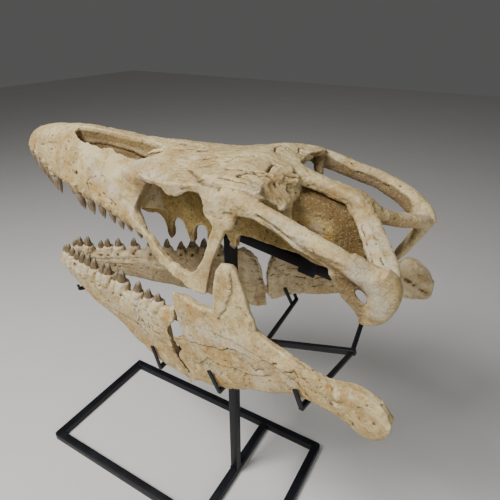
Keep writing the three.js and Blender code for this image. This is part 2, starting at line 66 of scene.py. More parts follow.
# Front wall of the eye socket, end of the roof, and the planes that part the pieces.
ORBIT_X = -128
ROOF_BACK = 150
FRONTAL_FRONT = -190
CHEEK_BACK = 95
ARCADE_LOW = 925
# Spacing of the points in each skin.
SKULL_GRID, BRAINCASE_GRID, DENTARY_GRID, HIND_JAW_GRID = 2.15, 2.4, 2.2, 2.3

ROOF_TOP = ((-676, 998), (-664, 1015), (-640, 1032), (-600, 1050), (-533, 1064), (-400, 1071),
            (-250, 1065), (-100, 1064), (0, 1067), (50, 1074), (90, 1077), (120, 1068), (160, 1054))
MARGIN_HALF = ((-676, 7), (-670, 14), (-650, 25), (-600, 40), (-500, 68), (-400, 97), (-300, 118),
               (-200, 140), (-128, 148))
MARGIN_Z = ((-676, 978), (-650, 982), (-620, 979), (-560, 958), (-500, 942), (-400, 937),
            (-300, 924), (-200, 911), (-128, 892))
BROW_HALF = ((-200, 96), (-150, 120), (-100, 143), (-40, 154), (20, 158), (110, 157), (160, 160))
BROW_Z = ((-200, 1030), (-150, 1024), (-100, 1024), (-40, 1031), (20, 1040), (60, 1045),
          (110, 1050), (160, 1048))
JAW_HALF = ((-636, 8), (-600, 21), (-500, 53), (-400, 82), (-300, 105), (-200, 134), (-100, 156),
            (0, 171), (100, 188), (200, 204), (300, 219), (450, 236))
DENTARY_TOP = ((-628, 650), (-614, 661), (-600, 658), (-550, 663), (-450, 676), (-350, 694),
               (-250, 705), (-150, 721), (-90, 735), (-50, 742))
DENTARY_LOW = ((-620, 622), (-608, 608), (-584, 597), (-540, 589), (-480, 581), (-400, 579),
               (-300, 576), (-200, 564), (-100, 554), (0, 556))
HIND_TOP = ((-60, 788), (-36, 792), (-12, 790), (15, 786), (50, 789), (110, 802), (160, 804),
            (190, 794), (240, 780), (300, 772), (340, 768), (380, 778), (410, 777), (434, 766),
            (452, 745))
HIND_LOW = ((-60, 554), (0, 564), (50, 576), (110, 601), (175, 643), (224, 667), (266, 692),
            (321, 705), (370, 702), (402, 690), (424, 690), (444, 706), (452, 730))

# Teeth as (x, crown length) from front to back.
UPPER_TEETH = ((-662, 40), (-643, 46), (-606, 58), (-558, 56), (-525, 57), (-422, 31), (-388, 51),
               (-345, 47), (-294, 37), (-250, 31), (-214, 31), (-186, 23), (-151, 21))
LOWER_TEETH = {
    "left": ((-604, 34), (-585, 46), (-556, 40), (-518, 40), (-480, 46), (-444, 48), (-405, 45),
             (-361, 41), (-331, 45), (-292, 31), (-260, 50), (-186, 42), (-142, 31), (-103, 27)),
    "right": ((-606, 34), (-590, 46), (-564, 50), (-520, 34), (-496, 40), (-462, 40), (-409, 37),
              (-352, 36), (-297, 35), (-255, 28), (-220, 38), (-184, 36), (-140, 32)),
}
PALATE_TEETH = ((-80, 46), (-24, 40), (32, 34))

# ------------------------------------------------------------------ shapes


def along(stops, x):
    """Smooth reading of a row of (x, value) stops, held level past its ends."""
    xs, ys = np.array(stops, float).T
    spots = np.arange(len(xs))
    ahead = np.minimum(spots + 1, len(xs) - 1)
    behind = np.maximum(spots - 1, 0)
    slope = (ys[ahead] - ys[behind]) / (xs[ahead] - xs[behind])
    x = np.clip(x, xs[0], xs[-1])
    i = np.clip(np.searchsorted(xs, x, side="right") - 1, 0, len(xs) - 2)
    gap = xs[i + 1] - xs[i]
    t = (x - xs[i]) / gap
    ease = t * t * (3 - 2 * t)
    lift = gap * (slope[i] * t * (1 - t) ** 2 - slope[i + 1] * t * t * (1 - t))
    return ys[i] * (1 - ease) + ys[i + 1] * ease + lift


def skin(rings):
    """Closed shell through a row of rings with the same number of points, as (points, faces)."""
    rings = np.array(rings, float)
    count, sides = rings.shape[:2]
    points = rings.reshape(-1, 3)
    last = (count - 1) * sides
    faces = [tuple(range(sides))[::-1], tuple(range(last, last + sides))]
    for s in range(sides):
        t = (s + 1) % sides
        for r in range(count - 1):
            a, b = r * sides + s, r * sides + t
            faces.append((a, b, b + sides, a + sides))
    volume = sum(points[f[0]] @ np.cross(points[f[k]], points[f[k + 1]])
                 for f in faces for k in range(1, len(f) - 1))
    if volume < 0:
        faces = [f[::-1] for f in faces]
    return points, faces


def limb(stations, across=(0, 1, 0), square=2.3, sides=28, cuts=60):
    """Bent bar of oval section through stations (x, y, z, half width, half height)."""
    table = np.array(stations, float)
    rows = [list(enumerate(column)) for column in table.T]
    places = np.linspace(0, len(table) - 1, cuts + 1)
    path = np.stack([along(row, places) for row in rows[:3]], axis=1)
    half_wide, half_high = along(rows[3], places), along(rows[4], places)
    run = np.gradient(path, axis=0)
    run /= np.linalg.norm(run, axis=1)[:, None]
    wide = np.array(across, float) - (run @ np.array(across, float))[:, None] * run
    wide /= np.linalg.norm(wide, axis=1)[:, None]
    high = np.cross(run, wide)
    angles = np.linspace(0, 2 * math.pi, sides, endpoint=False)
    c, s = np.cos(angles), np.sin(angles)
    swell = (np.abs(c) ** square + np.abs(s) ** square) ** (-1 / square)
    rings = path[:, None] + wide[:, None] * (half_wide[:, None] * (c * swell))[:, :, None]
    rings = rings + high[:, None] * (half_high[:, None] * (s * swell))[:, :, None]
    return skin(rings)


def plate(outline, depth_at, half, side):
    """Flat plate from an XZ outline, leaning as its distance from the midline says."""
    outer = [(x, side * (depth_at(x, z) + half), z) for x, z in outline]
    inner = [(x, side * (depth_at(x, z) - half), z) for x, z in outline]
    return skin([outer, inner])


def slab(outline, y0, y1):
    """Outline in the XZ plane, given depth from y0 to y1."""
    flat = np.array([(x, 0, z) for x, z in outline], float)
    return skin([flat + (0, y0, 0), flat + (0, y1, 0)])


def mirror(points, side):
    """Points given for the left of the skull, turned to the right for side 1."""
    return [(p[0], -side * p[1]) + tuple(p[2:]) for p in points]


def mesh_object(name, shapes):
    """One object from a list of (points, faces) in millimetres."""
    points, faces, start = [], [], 0
    for shape_points, shape_faces in shapes:
        points.append(np.asarray(shape_points, float) * MM)
        faces += [tuple(int(k) + start for k in face) for face in shape_faces]
        start += len(shape_points)
    mesh = bpy.data.meshes.new(name)
    mesh.from_pydata(np.concatenate(points).tolist(), [], faces)
    mesh.update()
    obj = bpy.data.objects.new(name, mesh)
    bpy.context.collection.objects.link(obj)
    return obj


def pick_up(obj):
    """Makes an object the only one that operators act on."""
    bpy.ops.object.select_all(action="DESELECT")
    bpy.context.view_layer.objects.active = obj
    obj.select_set(True)


def apply_modifier(obj, kind, **settings):
    modifier = obj.modifiers.new(kind.lower(), kind)
    for key, value in settings.items():
        setattr(modifier, key, value)
    pick_up(obj)
    bpy.ops.object.modifier_apply(modifier=modifier.name)


def carve(shape, *cutters):
    """A shape with the cutters taken out of it."""
    body = mesh_object("carved", [shape])
    for cutter in cutters:
        tool = mesh_object("cutter", [cutter])
        apply_modifier(body, "BOOLEAN", operation="DIFFERENCE", object=tool, solver="EXACT")
        bpy.data.meshes.remove(tool.data)
    points = [tuple(v.co / MM) for v in body.data.vertices]
    faces = [tuple(p.vertices) for p in body.data.polygons]
    bpy.data.meshes.remove(body.data)
    return points, faces


def fuse(name, shapes, voxel):
    """Overlapping shapes melted into one even skin."""
    obj = mesh_object(name, shapes)
    apply_modifier(obj, "REMESH", mode="VOXEL", voxel_size=voxel * MM)
    return obj


# ------------------------------------------------------------------ sculpting

LATTICE_SIZE = 32
lattice_rng = np.random.default_rng(11)
LATTICE = lattice_rng.uniform(-1, 1, (LATTICE_SIZE,) * 3)
SCATTER = lattice_rng.uniform(0.08, 0.92, (LATTICE_SIZE,) * 3 + (3,))


def step(value, low, high):
    """0 below low, 1 above high and smooth between."""
    t = np.clip((value - low) / (high - low), 0, 1)
    return t * t * (3 - 2 * t)


def lumps(p, size, seed=0):
    """Smooth random relief from -1 to 1, with lumps of that size in mm (one, or one per axis)."""
    q = p / np.asarray(size, float) + 5.37 * seed
    cell = np.floor(q).astype(int)
    f = q - cell
    f = f * f * (3 - 2 * f)
    total = np.zeros(len(p))
    for corner in itertools.product((0, 1), repeat=3):
        i, j, k = ((cell + corner) % LATTICE_SIZE).T
        total += np.prod(np.abs(1 - np.array(corner) - f), axis=1) * LATTICE[i, j, k]
    return total


def rough(p, size, octaves, seed=0):
    """Relief with finer relief on it."""
    size = np.asarray(size, float)
    return sum(lumps(p, size / 2 ** k, seed + k) / 2 ** k for k in range(octaves))


def plates(p, size, seed):
    """Broken plates of that size in mm: a random tone for each, and the distance to its edge."""
    q = p / np.asarray(size, float) + 3.71 * seed
    cell = np.floor(q).astype(int)
    nearest, second, tone = np.full(len(p), 9.0), np.full(len(p), 9.0), np.zeros(len(p))
    for shift in itertools.product((-1, 0, 1), repeat=3):
        i, j, k = ((cell + shift) % LATTICE_SIZE).T
        apart = np.linalg.norm(q - cell - shift - SCATTER[i, j, k], axis=1)
        closer = apart < nearest
        second = np.where(closer, nearest, np.minimum(second, apart))
        tone = np.where(closer, LATTICE[i, j, k], tone)
        nearest = np.where(closer, apart, nearest)
    return tone, (second - nearest) * np.mean(size) / 2


def near_path(p, path, width):
    """1 on a path of points, falling to 0 at about twice its width."""
    best = np.full(len(p), 1e9)
    path = [np.array(point, float) for point in path]
    for a, b in zip(path, path[1:]):
        run = b - a
        t = np.clip((p - a) @ run / (run @ run), 0, 1)
        best = np.minimum(best, ((p - a - t[:, None] * run) ** 2).sum(axis=1))
    return np.exp(-best / width ** 2)


def near_spots(p, spots):
    """Soft round spots as (x, y, z, radius, strength), joined by their strongest."""
    total = np.zeros(len(p))
    for x, y, z, radius, strength in spots:
        apart = ((p - (x, y, z)) ** 2).sum(axis=1)
        total = np.maximum(total, strength * np.exp(-apart / radius ** 2))
    return total


class Clay:
    """Dense skin of an object, shaped point by point in millimetres and painted per point."""

    def __init__(self, obj):
        self.obj = obj
        mesh = obj.data
        self.count = len(mesh.vertices)
        flat = np.empty(self.count * 3)
        mesh.vertices.foreach_get("co", flat)
        self.p = flat.reshape(-1, 3) / MM
        ends = np.empty(len(mesh.edges) * 2, int)
        mesh.edges.foreach_get("vertices", ends)
        self.a, self.b = ends.reshape(-1, 2).T
        self.degree = sum(np.bincount(end, minlength=self.count) for end in (self.a, self.b))
        self.paint = {}
        self.refresh()
        self.drift = np.stack([rough(self.p, 15, 2, seed) for seed in (21, 22, 23)], axis=1)

    def refresh(self):
        mesh = self.obj.data
        mesh.vertices.foreach_set("co", (self.p * MM).ravel())
        mesh.update()
        flat = np.empty(self.count * 3)
        mesh.vertex_normals.foreach_get("vector", flat)
        self.n = flat.reshape(-1, 3)

    def around(self, values):
        """Mean of each point's neighbours."""
        columns = []
        for column in values.T:
            total = np.bincount(self.a, column[self.b], self.count)
            total += np.bincount(self.b, column[self.a], self.count)
            columns.append(total / self.degree)
        return np.stack(columns, axis=1)

    def relax(self, rounds):
        """Rounds off edges without thinning the shape."""
        for _ in range(rounds):
            self.p += 0.5 * (self.around(self.p) - self.p)
            self.p -= 0.52 * (self.around(self.p) - self.p)
        self.refresh()

    def melt(self, rounds, mask):
        """Softens part of the shape, as worn or plastered bone."""
        for _ in range(rounds):
            self.p += 0.5 * mask[:, None] * (self.around(self.p) - self.p)
        self.refresh()

    def push(self, amount):
        self.p += self.n * amount[:, None]
        self.refresh()

    def hollows(self, rounds, depth):
        """Above 0 in pits and cracks, below 0 on edges, 1 at that depth in mm."""
        mean = self.p.copy()
        for _ in range(rounds):
            mean += 0.6 * (self.around(mean) - mean)
        return ((mean - self.p) * self.n).sum(axis=1) / depth

    def dab(self, name, value):
        """Paints an amount from 0 to 1, keeping the stronger one."""
        old = self.paint.get(name, np.zeros(self.count))
        self.paint[name] = np.maximum(old, np.clip(value, 0, 1))

    def groove(self, path, width, depth, umber_and_shade=0.0):
        """Shallow channel along a path, or a ridge where the depth is negative."""
        amount = near_path(self.p, path, width)
        self.push(-depth * amount)
        # Darkens the channel brown: a stain in some channels, painted shade in others.
        self.dab("umber_and_shade", umber_and_shade * amount)

    def crack(self, path, width, depth, ragged=3.0):
        """Thin ragged break along a path. One of (x, y) runs over whatever faces up there."""
        axes = len(path[0])
        amount = near_path((self.p + ragged * self.drift)[:, :axes], path, width)
        if axes == 2:
            amount *= step(self.n[:, 2], 0.3, 0.6)
        self.push(-depth * amount)
        self.dab("umber_and_shade", 0.9 * amount)

    def cracks(self, rows):
        """Several, as (path, width, depth)."""
        for path, width, depth in rows:
            self.crack(path, width, depth)

    def pits(self, spots, depth=4.0):
        """Small round openings for nerves and vessels, as (x, y, z, radius)."""
        for x, y, z, radius in spots:
            amount = near_spots(self.p, [(x, y, z, radius, 1)])
            self.push(-depth * amount)
            self.dab("umber_and_shade", amount * 1.3)

    def weather(self, amount=1.0, plate=30, grain=(1, 1, 1), seed=0):
        """What all the bone shares: slow lumps, broken plates, lost flakes, scars and pits.

        The last 1.2 mm gives back what rounding and flaking have taken off."""
        p = self.p
        grain = np.array(grain, float)
        relief = 1.2 * rough(p, 60 * grain, 2, seed + 1) + 0.8 * rough(p, 19 * grain, 2, seed + 2)
        tone, gap = plates(p + 7 * self.drift, plate * grain, seed + 3)
        broken = step(lumps(p, 85, seed + 4), -0.25, 0.25)
        relief += 0.5 * tone * broken
        seams = np.exp(-(gap / 1.1) ** 2) * broken * step(lumps(p, 40, seed + 6), -0.1, 0.3)
        relief -= 0.9 * seams
        flaked = step(rough(p, 44 * grain, 4, seed + 5), 0.30, 0.40)
        relief -= 1.2 * flaked
        flaked = step(rough(p, 26 * grain, 3, seed + 7), 0.55, 0.66)
        relief -= 1.2 * flaked
        pitted = step(lumps(p, 8, seed + 8) * lumps(p, 21, seed + 9), 0.34, 0.55)
        relief -= 1.6 * pitted
        relief += 0.42 * lumps(p, 5.5, seed + 10) + 0.25 * lumps(p, 3.5, seed + 12) + 1.2
        self.push(amount * relief)
        self.dab("plate", 0.5 + 0.5 * tone)
        self.dab("umber_and_shade", amount * (0.45 * seams + 0.35 * pitted))

    def finish(self):
        self.p = np.clip(self.p, BOX_LOW, BOX_HIGH)
        self.refresh()
        # Painted shade: darker in creases and fine cracks, and in deep recesses; rubbed edges are
        # paler.
        self.dab("crease_shade", step(self.hollows(4, 0.6), 0.2, 1.4))
        self.dab("recess_shade", step(self.hollows(45, 4.5), 0.15, 1.3))
        self.dab("edge", step(-self.hollows(10, 1.0), 0.25, 1.5))
        for name in ("ochre", "plaster", "umber_and_shade", "matrix", "plate"):
            self.dab(name, np.zeros(self.count))
        for name, value in self.paint.items():
            attribute = self.obj.data.attributes.new(name, "FLOAT", "POINT")
            attribute.data.foreach_set("value", value.astype(np.float32))
        smooth(self.obj)
        return self.obj


def smooth(obj):
    pick_up(obj)
    bpy.ops.object.shade_smooth()


def part_of(obj, name, cuts):
    """Copy of an object kept between planes (axis, place in mm, side kept), closed flat at each."""
    piece = obj.copy()
    piece.data = obj.data.copy()
    piece.name = piece.data.name = name
    bpy.context.collection.objects.link(piece)
    pick_up(piece)
    for axis, place, side in cuts:
        point, normal = [0, 0, 0], [0, 0, 0]
        point[axis], normal[axis] = place * MM, side
        bpy.ops.object.mode_set(mode="EDIT")
        bpy.ops.mesh.select_all(action="SELECT")
        bpy.ops.mesh.bisect(plane_co=point, plane_no=normal, use_fill=True, clear_inner=True)
        bpy.ops.object.mode_set(mode="OBJECT")
        at_cut = np.array([abs(v.co[axis] - place * MM) < 1e-6 for v in piece.data.vertices])
        for edge in piece.data.edges:
            if at_cut[edge.vertices[0]] and at_cut[edge.vertices[1]]:
                edge.use_edge_sharp = True
    return piece


# ------------------------------------------------------------------ upper skull


def snout_shape():
    xs = np.concatenate([[-676, -674.5, -672, -668, -663, -656], np.linspace(-648, ORBIT_X, 90)])
    rings = []
    for x in xs:
        half, low = along(MARGIN_HALF, x), along(MARGIN_Z, x)
        rise = along(ROOF_TOP, x) - low
        a = np.radians(np.linspace(-90, 90, 49))
        arch = [np.full_like(a, x), half * np.sin(a), low + rise * np.abs(np.cos(a)) ** 0.92]
        palate = [(x, half * f, low + 9) for f in (0.8, 0.4, 0, -0.4, -0.8)]
        rings.append(np.concatenate([np.stack(arch, axis=1), palate]))
    return skin(rings)


def roof_shape():
    """Frontal and parietal table, with a ragged brow and round corners behind."""
    rings = []
    for x in np.linspace(-185, ROOF_BACK, 90):
        half, rim = along(BROW_HALF, x), along(BROW_Z, x)
        crown = along(ROOF_TOP, x) - rim
        droop = 17 * step(x, -66, -52) * (1 - step(x, -28, 6))
        droop += 5 * step(x, -20, 0) * (1 - step(x, 4, 30))
        f = np.linspace(-1, 1, 61)
        top = np.stack([np.full_like(f, x), half * f, rim + crown * np.cos(f * math.pi / 2)], axis=1)
        g = np.linspace(0.97, -0.97, 41)
        vault = rim - 13 - droop * np.abs(g) ** 9 + 0.45 * crown * np.cos(g * math.pi / 2)
        under = np.stack([np.full_like(g, x), half * g, vault], axis=1)
        ring = np.concatenate([top, under])
        # The right side sags in front and stands higher behind; the corners beside the crest
        # and the arcades are filled.
        lift = 5 * step(x, 40, 110) - 9 * (1 - step(x, 0, 60))
        ring[:, 2] += lift * step(ring[:, 1], 20, 120)
        y = np.abs(ring[:, 1])
        fillet = np.where(ring[:, 1] < 0, 22, 8) * np.exp(-((y - 34) / 16) ** 2)
        fillet += 16 * np.exp(-((y - 144) / 11) ** 2)
        fillet += 2 * np.sin(y / 7)
        ring[:, 0] += fillet * step(x, 110, ROOF_BACK)
        rings.append(ring)
    return skin(rings)


# Edges of a nostril, as (x, inner y, outer y).
NOSTRIL = ((-437, 15, 30), (-422, 13, 40), (-405, 13, 49), (-387, 13, 56), (-360, 13, 58),
           (-345, 13, 62), (-332, 13, 62), (-312, 13, 68), (-295, 13, 63), (-278, 13, 61),
           (-261, 14, 71), (-233, 15, 76), (-211, 17, 83), (-190, 20, 82), (-172, 26, 80),
           (-156, 32, 73), (-144, 37, 62), (-132, 44, 53))


def nostril_shape(side):
    inner = [(x, y) for x, y, _ in NOSTRIL]
    outer = [(x, y) for x, _, y in NOSTRIL]
    rings = []
    for x in np.linspace(-437, -132, 73):
        a, b = along(inner, x), along(outer, x)
        floor = 1012 - 10 * step(x, -437, -385) * (1 - step(x, -220, -150))
        ring = [(a + 2, floor + 12), (a, floor + 26), (a, 1110), (b + 12, 1110), (b, 1036),
                (0.7 * b + 0.3 * a, floor + 2), (0.3 * b + 0.7 * a, floor)]
        rings.append([(x, y * side, z) for y, z in ring])
    return skin(rings)


ORBIT = ((-60, 1100), (-126, 1100), (-126, 1003), (-135, 991), (-145, 976), (-152, 962),
         (-157, 950), (-153, 938), (-143, 927), (-126, 911), (-112, 900), (-60, 900))
# Eye socket as (z, outermost y): it narrows upwards inside the wall of the snout.
SOCKET = ((695, 136), (900, 136), (930, 133), (955, 129), (980, 119), (1000, 106), (1010, 92),
          (1016, 72))


def socket_shape(side):
    angles = np.linspace(0, 2 * math.pi, 40, endpoint=False)
    rings = []
    for z, outer in SOCKET:
        middle, half = (outer + 36) / 2, (outer - 36) / 2
        long = 96 * min(1.0, (1030 - z) / 60)
        rings.append([(-100 + long * math.cos(a), side * (middle + half * math.sin(a)), z)
                      for a in angles])
    return skin(rings)


# Edge between the pale top and the inner face of the right arcade, painted brown as shade, as (x, z).
ARCADE_RIDGE = ((118, 1020), (124, 1025), (133, 1035), (145, 1040), (156, 1042), (173, 1040),
                (198, 1026), (222, 1016), (245, 1012), (268, 1005), (291, 997), (314, 990),
                (336, 981), (354, 972), (364, 960))
FAR_GAP = ((104, 1004), (109, 1018), (115, 1023), (131, 1022), (139, 1014), (142, 1002), (152, 960),
           (96, 960))
CHEEK = ((-166, 916), (-142, 909), (-116, 885), (-98, 860), (-74, 843), (-32, 824), (5, 811),
         (32, 809), (46, 812), (51, 841), (59, 881), (67, 905), (79, 933), (90, 960), (101, 982),
         (115, 997), (62, 994), (66, 977), (62, 959), (54, 937), (49, 918), (40, 890), (31, 873),
         (19, 858), (8, 848), (1, 843), (-26, 848), (-59, 861), (-85, 878), (-101, 896),
         (-121, 909), (-139, 922), (-163, 940))


def cheek_depth(x, z):
    return 230.4 + 0.0653 * x - 0.0839 * z


def arcade_shapes(side):
    beam = [(52, -146, 1012, 14, 26), (85, -150, 1016, 13, 29), (118, -153, 1020, 12, 24),
            (140, -156, 1018, 12, 18), (160, -158, 1016, 12, 16), (200, -164, 1007, 12, 16),
            (240, -173, 997, 12, 21), (280, -181, 987, 13, 21), (320, -179, 972, 15, 21),
            (358, -168, 950, 20, 21), (394, -148, 933, 20, 20)]
    if side > 0:
        beam = [(52, -146, 1012, 14, 26), (85, -150, 1021, 13, 31), (120, -153, 1027, 12, 26),
                (160, -158, 1029, 12, 21), (200, -164, 1019, 12, 20), (240, -173, 1006, 12, 20),
                (280, -181, 993, 13, 21), (320, -180, 978, 15, 23), (352, -176, 963, 17, 24),
                (384, -167, 940, 18, 25), (403, -156, 919, 16, 20)]
    beam = mirror(beam, side)
    # Triangular face of the postorbital, from the brow down to the cheek bone.
    face = mirror([(40, -148, 1036, 14, 12), (64, -150, 1020, 34, 12), (78, -152, 996, 36, 12),
                   (84, -154, 974, 26, 9), (86, -155, 962, 14, 7)], side)
    brow_foot = mirror([(22, -148, 1036, 8, 9), (42, -148, 1022, 9, 10), (57, -150, 1000, 10, 10),
                        (66, -153, 976, 9, 8), (72, -155, 955, 8, 7)], side)
    beam, face = limb(beam), limb(face, across=(1, 0, 0))
    if side > 0:
        gap = slab(FAR_GAP, 110, 200)
        beam, face = carve(beam, gap), carve(face, gap)
    return [beam, face, limb(brow_foot, across=(1, 0, 0)), plate(CHEEK, cheek_depth, 6.5, side)]


# Flange of the left quadrate and the opening that runs slantwise through it.
FLANGE = ((296, 968), (308, 944), (318, 924), (329, 906), (343, 890), (354, 877), (358, 866),
          (358, 855), (372, 851), (386, 858), (392, 880), (392, 930), (385, 968), (340, 988))
STIRRUP_GAP = ((357, 906), (11, -10.5), (5, 5.2))


def flange_depth(x, z):
    return 170.3 - 0.2334 * x + 0.0825 * z


def quadrate_shapes(side):
    if side > 0:
        return [limb([(394, 148, 930, 31, 13), (390, 148, 912, 28, 12), (380, 144, 892, 24, 10),
                      (370, 139, 870, 22, 9), (359, 133, 852, 18, 9), (354, 130, 841, 14, 7)],
                     across=(0.3, -0.95, 0)),
                limb([(398, 170, 938, 11, 9), (384, 160, 905, 9, 7), (370, 148, 876, 9, 7),
                      (360, 138, 856, 10, 8)], across=(0.9, 0.3, 0))]
    (x, z), long, short = STIRRUP_GAP
    ring = np.array([(x + long[0] * math.cos(a) + short[0] * math.sin(a), -158,
                      z + long[1] * math.cos(a) + short[1] * math.sin(a))
                     for a in np.linspace(0, 2 * math.pi, 20, endpoint=False)])
    through = np.array((-0.22, 1.0, -0.68))
    window = skin([ring - 45 * through, ring + 45 * through])
    pillar = limb([(374, -172, 962, 26, 14), (392, -164, 939, 27, 16), (393, -160, 911, 24, 15),
                   (388, -155, 886, 19, 15), (380, -150, 870, 17, 12), (371, -148, 858, 12, 8)],
                  across=(1, 0.05, 0), square=3.4)
    return [carve(plate(FLANGE, flange_depth, 6, -1), window), pillar]


# Flap at the left corner of the roof.
FLAP = ((146, -150, 1045), (146, -44, 1066), (172, -64, 1039), (176, -77, 1032), (191, -82, 1017),
        (189, -118, 1012), (179, -122, 1021), (165, -131, 1031), (158, -152, 1033))


def crest_shapes():
    shapes = [limb([(100, 0, 1053, 66, 14), (150, -2, 1045, 38, 13), (190, 0, 1033, 27, 14),
                  (216, 0, 1027, 25, 14), (240, 0, 1021, 25, 14), (270, 0, 1014, 26, 15),
                  (290, 0, 1008, 28, 15), (308, 0, 995, 31, 15)])]
    shapes.append(limb([(288, -4, 1002, 22, 15), (312, -24, 988, 21, 15), (336, -54, 970, 21, 14),
                        (358, -84, 957, 22, 13), (378, -114, 945, 23, 13), (391, -138, 932, 20, 13),
                        (395, -150, 912, 16, 12), (392, -150, 890, 14, 10)],
                       across=(1, 0, 0), square=3.0))
    shapes.append(limb([(288, 4, 1000, 22, 15), (312, 24, 980, 21, 15), (336, 54, 961, 21, 14),
                        (358, 84, 951, 22, 13), (380, 116, 941, 24, 13), (396, 146, 930, 22, 14)],
                       across=(1, 0, 0), square=3.0))
    # On the left the table ends in a flap that hangs into the temporal opening. Behind it a
    # web runs down from the root of the crest and a rib goes on down the braincase.
    flap = np.array(FLAP, float)
    shapes.append(skin([flap, flap - (5, -1, 6)]))
    shapes.append(limb([(148, -38, 1048, 30, 10), (164, -34, 1034, 26, 9), (173, -40, 1018, 20, 8),
                        (177, -48, 1004, 10, 6)]))
    shapes.append(limb([(170, -54, 1020, 12, 8), (168, -52, 1000, 10, 7), (167, -51, 975, 9, 6),
                        (165, -50, 945, 9, 6)], across=(1, 0, 0)))
    shapes.append(limb([(128, -64, 1053, 34, 9), (152, -50, 1048, 26, 9), (180, -34, 1038, 15, 9)]))
    # On the right a thin strut runs down from the arcade, inside the corner of the table.
    shapes.append(limb([(150, 142, 1034, 11, 9), (159, 122, 1023, 10, 7), (168, 101, 1010, 9, 7),
                        (172, 78, 985, 8, 6), (168, 54, 935, 9, 8)], across=(1, 0, 0)))
    return shapes


def upper_tooth(x, crown, side):
    """Foot, tip and radius of an upper tooth crown."""
    radius = 1.18 * (4.5 + 0.13 * crown) * min(1, (x + 770) / 150)
    y, z = side * (along(MARGIN_HALF, x) - 9), along(MARGIN_Z, x)
    return (x, y - side * 0.2 * radius, z + 15), (x + 0.18 * crown, y, z - 1.08 * crown), radius


def collar(foot, tip, radius, reach, spread):
    """Bone that swells round the foot of a tooth."""
    foot, tip = np.array(foot), np.array(tip)
    run = tip - foot
    stations = [(0, 1.1), (0.35 * reach, 1.0), (0.75 * reach, 0.6), (reach, 0.15)]
    return limb([(*(foot + t * run), radius + spread * f, radius + spread * f) for t, f in stations],
                across=(1, 0, 0), square=2, sides=18, cuts=10)


def skull_shapes():
    eyes = [slab(ORBIT, *sorted((s * 48, s * 220))) for _, s in SIDES]
    sockets = [socket_shape(s) for _, s in SIDES]
    nostrils = [nostril_shape(s) for _, s in SIDES]
    snout = carve(snout_shape(), *eyes, *sockets, *nostrils)
    roof = carve(roof_shape(), *nostrils)
    shapes = [snout, roof] + crest_shapes()
    for _, s in SIDES:
        shapes += arcade_shapes(s) + quadrate_shapes(s)
        shapes += [collar(*upper_tooth(x, crown, s), 0.3, 3.0 if x > -600 else 1.0)
                   for x, crown in UPPER_TEETH]
        # Bone that fills the corner between brow and snout, and the shelf inside the nostril.
        shapes.append(limb(mirror([(-215, -98, 1008, 12, 16), (-180, -106, 1006, 13, 18),
                                   (-150, -112, 1000, 13, 18), (-134, -117, 992, 10, 16)], s)))
        shapes.append(limb(mirror([(-420, -12, 1034, 5, 5), (-350, -11, 1038, 5, 4),
                                   (-270, -13, 1034, 6, 5), (-200, -24, 1028, 9, 6),
                                   (-160, -36, 1026, 9, 6)], s)))
    # Splinter that crosses the back of the left nostril.
    shapes.append(limb([(-138, -44, 1056, 5, 4), (-162, -49, 1051, 4, 3), (-182, -50, 1043, 2, 2)]))
    return shapes


# Openings for nerves as (x, y, z, radius), and stains and fills as (x, y, z, radius, strength).
FORAMINA = ((-520, -39, 1041, 2.6), (-481, -46, 1044, 2.4), (-439, -57, 1041, 3.0),
            (-516, -54, 1010, 2.4), (-436, -70, 1023, 3.0), (-510, -58, 1001, 2.2),
            (-382, -96, 979, 4.2), (-353, -96, 995, 2.6), (-556, -40, 1025, 2.4),
            (-391, -79, 1023, 2.4), (-455, -82, 985, 3.0), (-330, -112, 965, 3.0),
            (-280, -124, 950, 3.2), (-232, -132, 942, 3.0), (-590, -34, 1015, 2.4))
SNOUT_PLASTER = ((-350, -74, 1038, 20, 0.9), (-326, -95, 1010, 20, 0.9), (-293, -106, 992, 20, 0.9),
                 (-262, -111, 993, 16, 0.8), (-226, -124, 975, 22, 1.0), (-190, -135, 960, 20, 0.9),
                 (-163, -139, 950, 16, 0.9), (-156, -135, 966, 14, 0.9),
                 (-222, -109, 1011, 18, 1.0), (-199, -106, 1017, 18, 0.9),
                 (-171, -87, 1043, 26, 0.8), (-134, -127, 1024, 18, 0.9),
                 (-105, -132, 1030, 24, 1.0), (-77, -133, 1036, 24, 1.0),
                 (-240, -83, 1043, 24, 0.7), (-300, -86, 1032, 16, 0.6), (-380, -66, 1042, 16, 0.7))
SNOUT_OCHRE = ((-630, -26, 995, 50, 0.7), (-560, -46, 990, 44, 0.6), (-486, -64, 999, 46, 0.7),
               (-351, -96, 990, 30, 0.8), (-300, -116, 958, 32, 0.9), (-240, -127, 948, 34, 1.0),
               (-195, -137, 937, 30, 1.0), (-278, -90, 1022, 28, 0.6), (-190, -118, 1000, 30, 0.8),
               (-420, -88, 965, 36, 0.8), (-540, -52, 975, 34, 0.6), (-600, -30, 1020, 30, 0.4))
ROOF_PLASTER = ((-39, -74, 1062, 16, 1.0), (148, -140, 1052, 24, 0.9), (40, -150, 1040, 20, 0.6),
                (332, -58, 980, 26, 0.8), (356, -88, 965, 30, 0.9), (380, -120, 953, 30, 0.9),
                (356, 84, 962, 26, 0.8), (384, 122, 950, 28, 0.9), (372, 140, 872, 20, 0.7),
                (10, -20, 1074, 26, 0.4), (207, -176, 1004, 22, 0.9), (245, -185, 998, 24, 0.9),
                (180, 160, 1030, 28, 0.6), (260, 178, 1000, 30, 0.7), (-20, -144, 1020, 26, 0.6),
                (70, -152, 1010, 26, 0.6))
ROOF_OCHRE = ((95, -150, 985, 26, 0.5), (300, -26, 998, 20, 0.9), (130, -90, 1058, 26, 0.5),
              (250, -10, 1022, 26, 0.8), (196, -160, 1022, 26, 0.4), (330, -178, 975, 34, 0.5),
              (-120, -60, 1068, 40, 0.5), (300, 180, 985, 34, 0.6), (160, -88, 1035, 30, 0.8),
              (0, -60, 1068, 40, 0.4), (300, -190, 985, 30, 0.4), (235, 20, 1018, 24, 0.6))
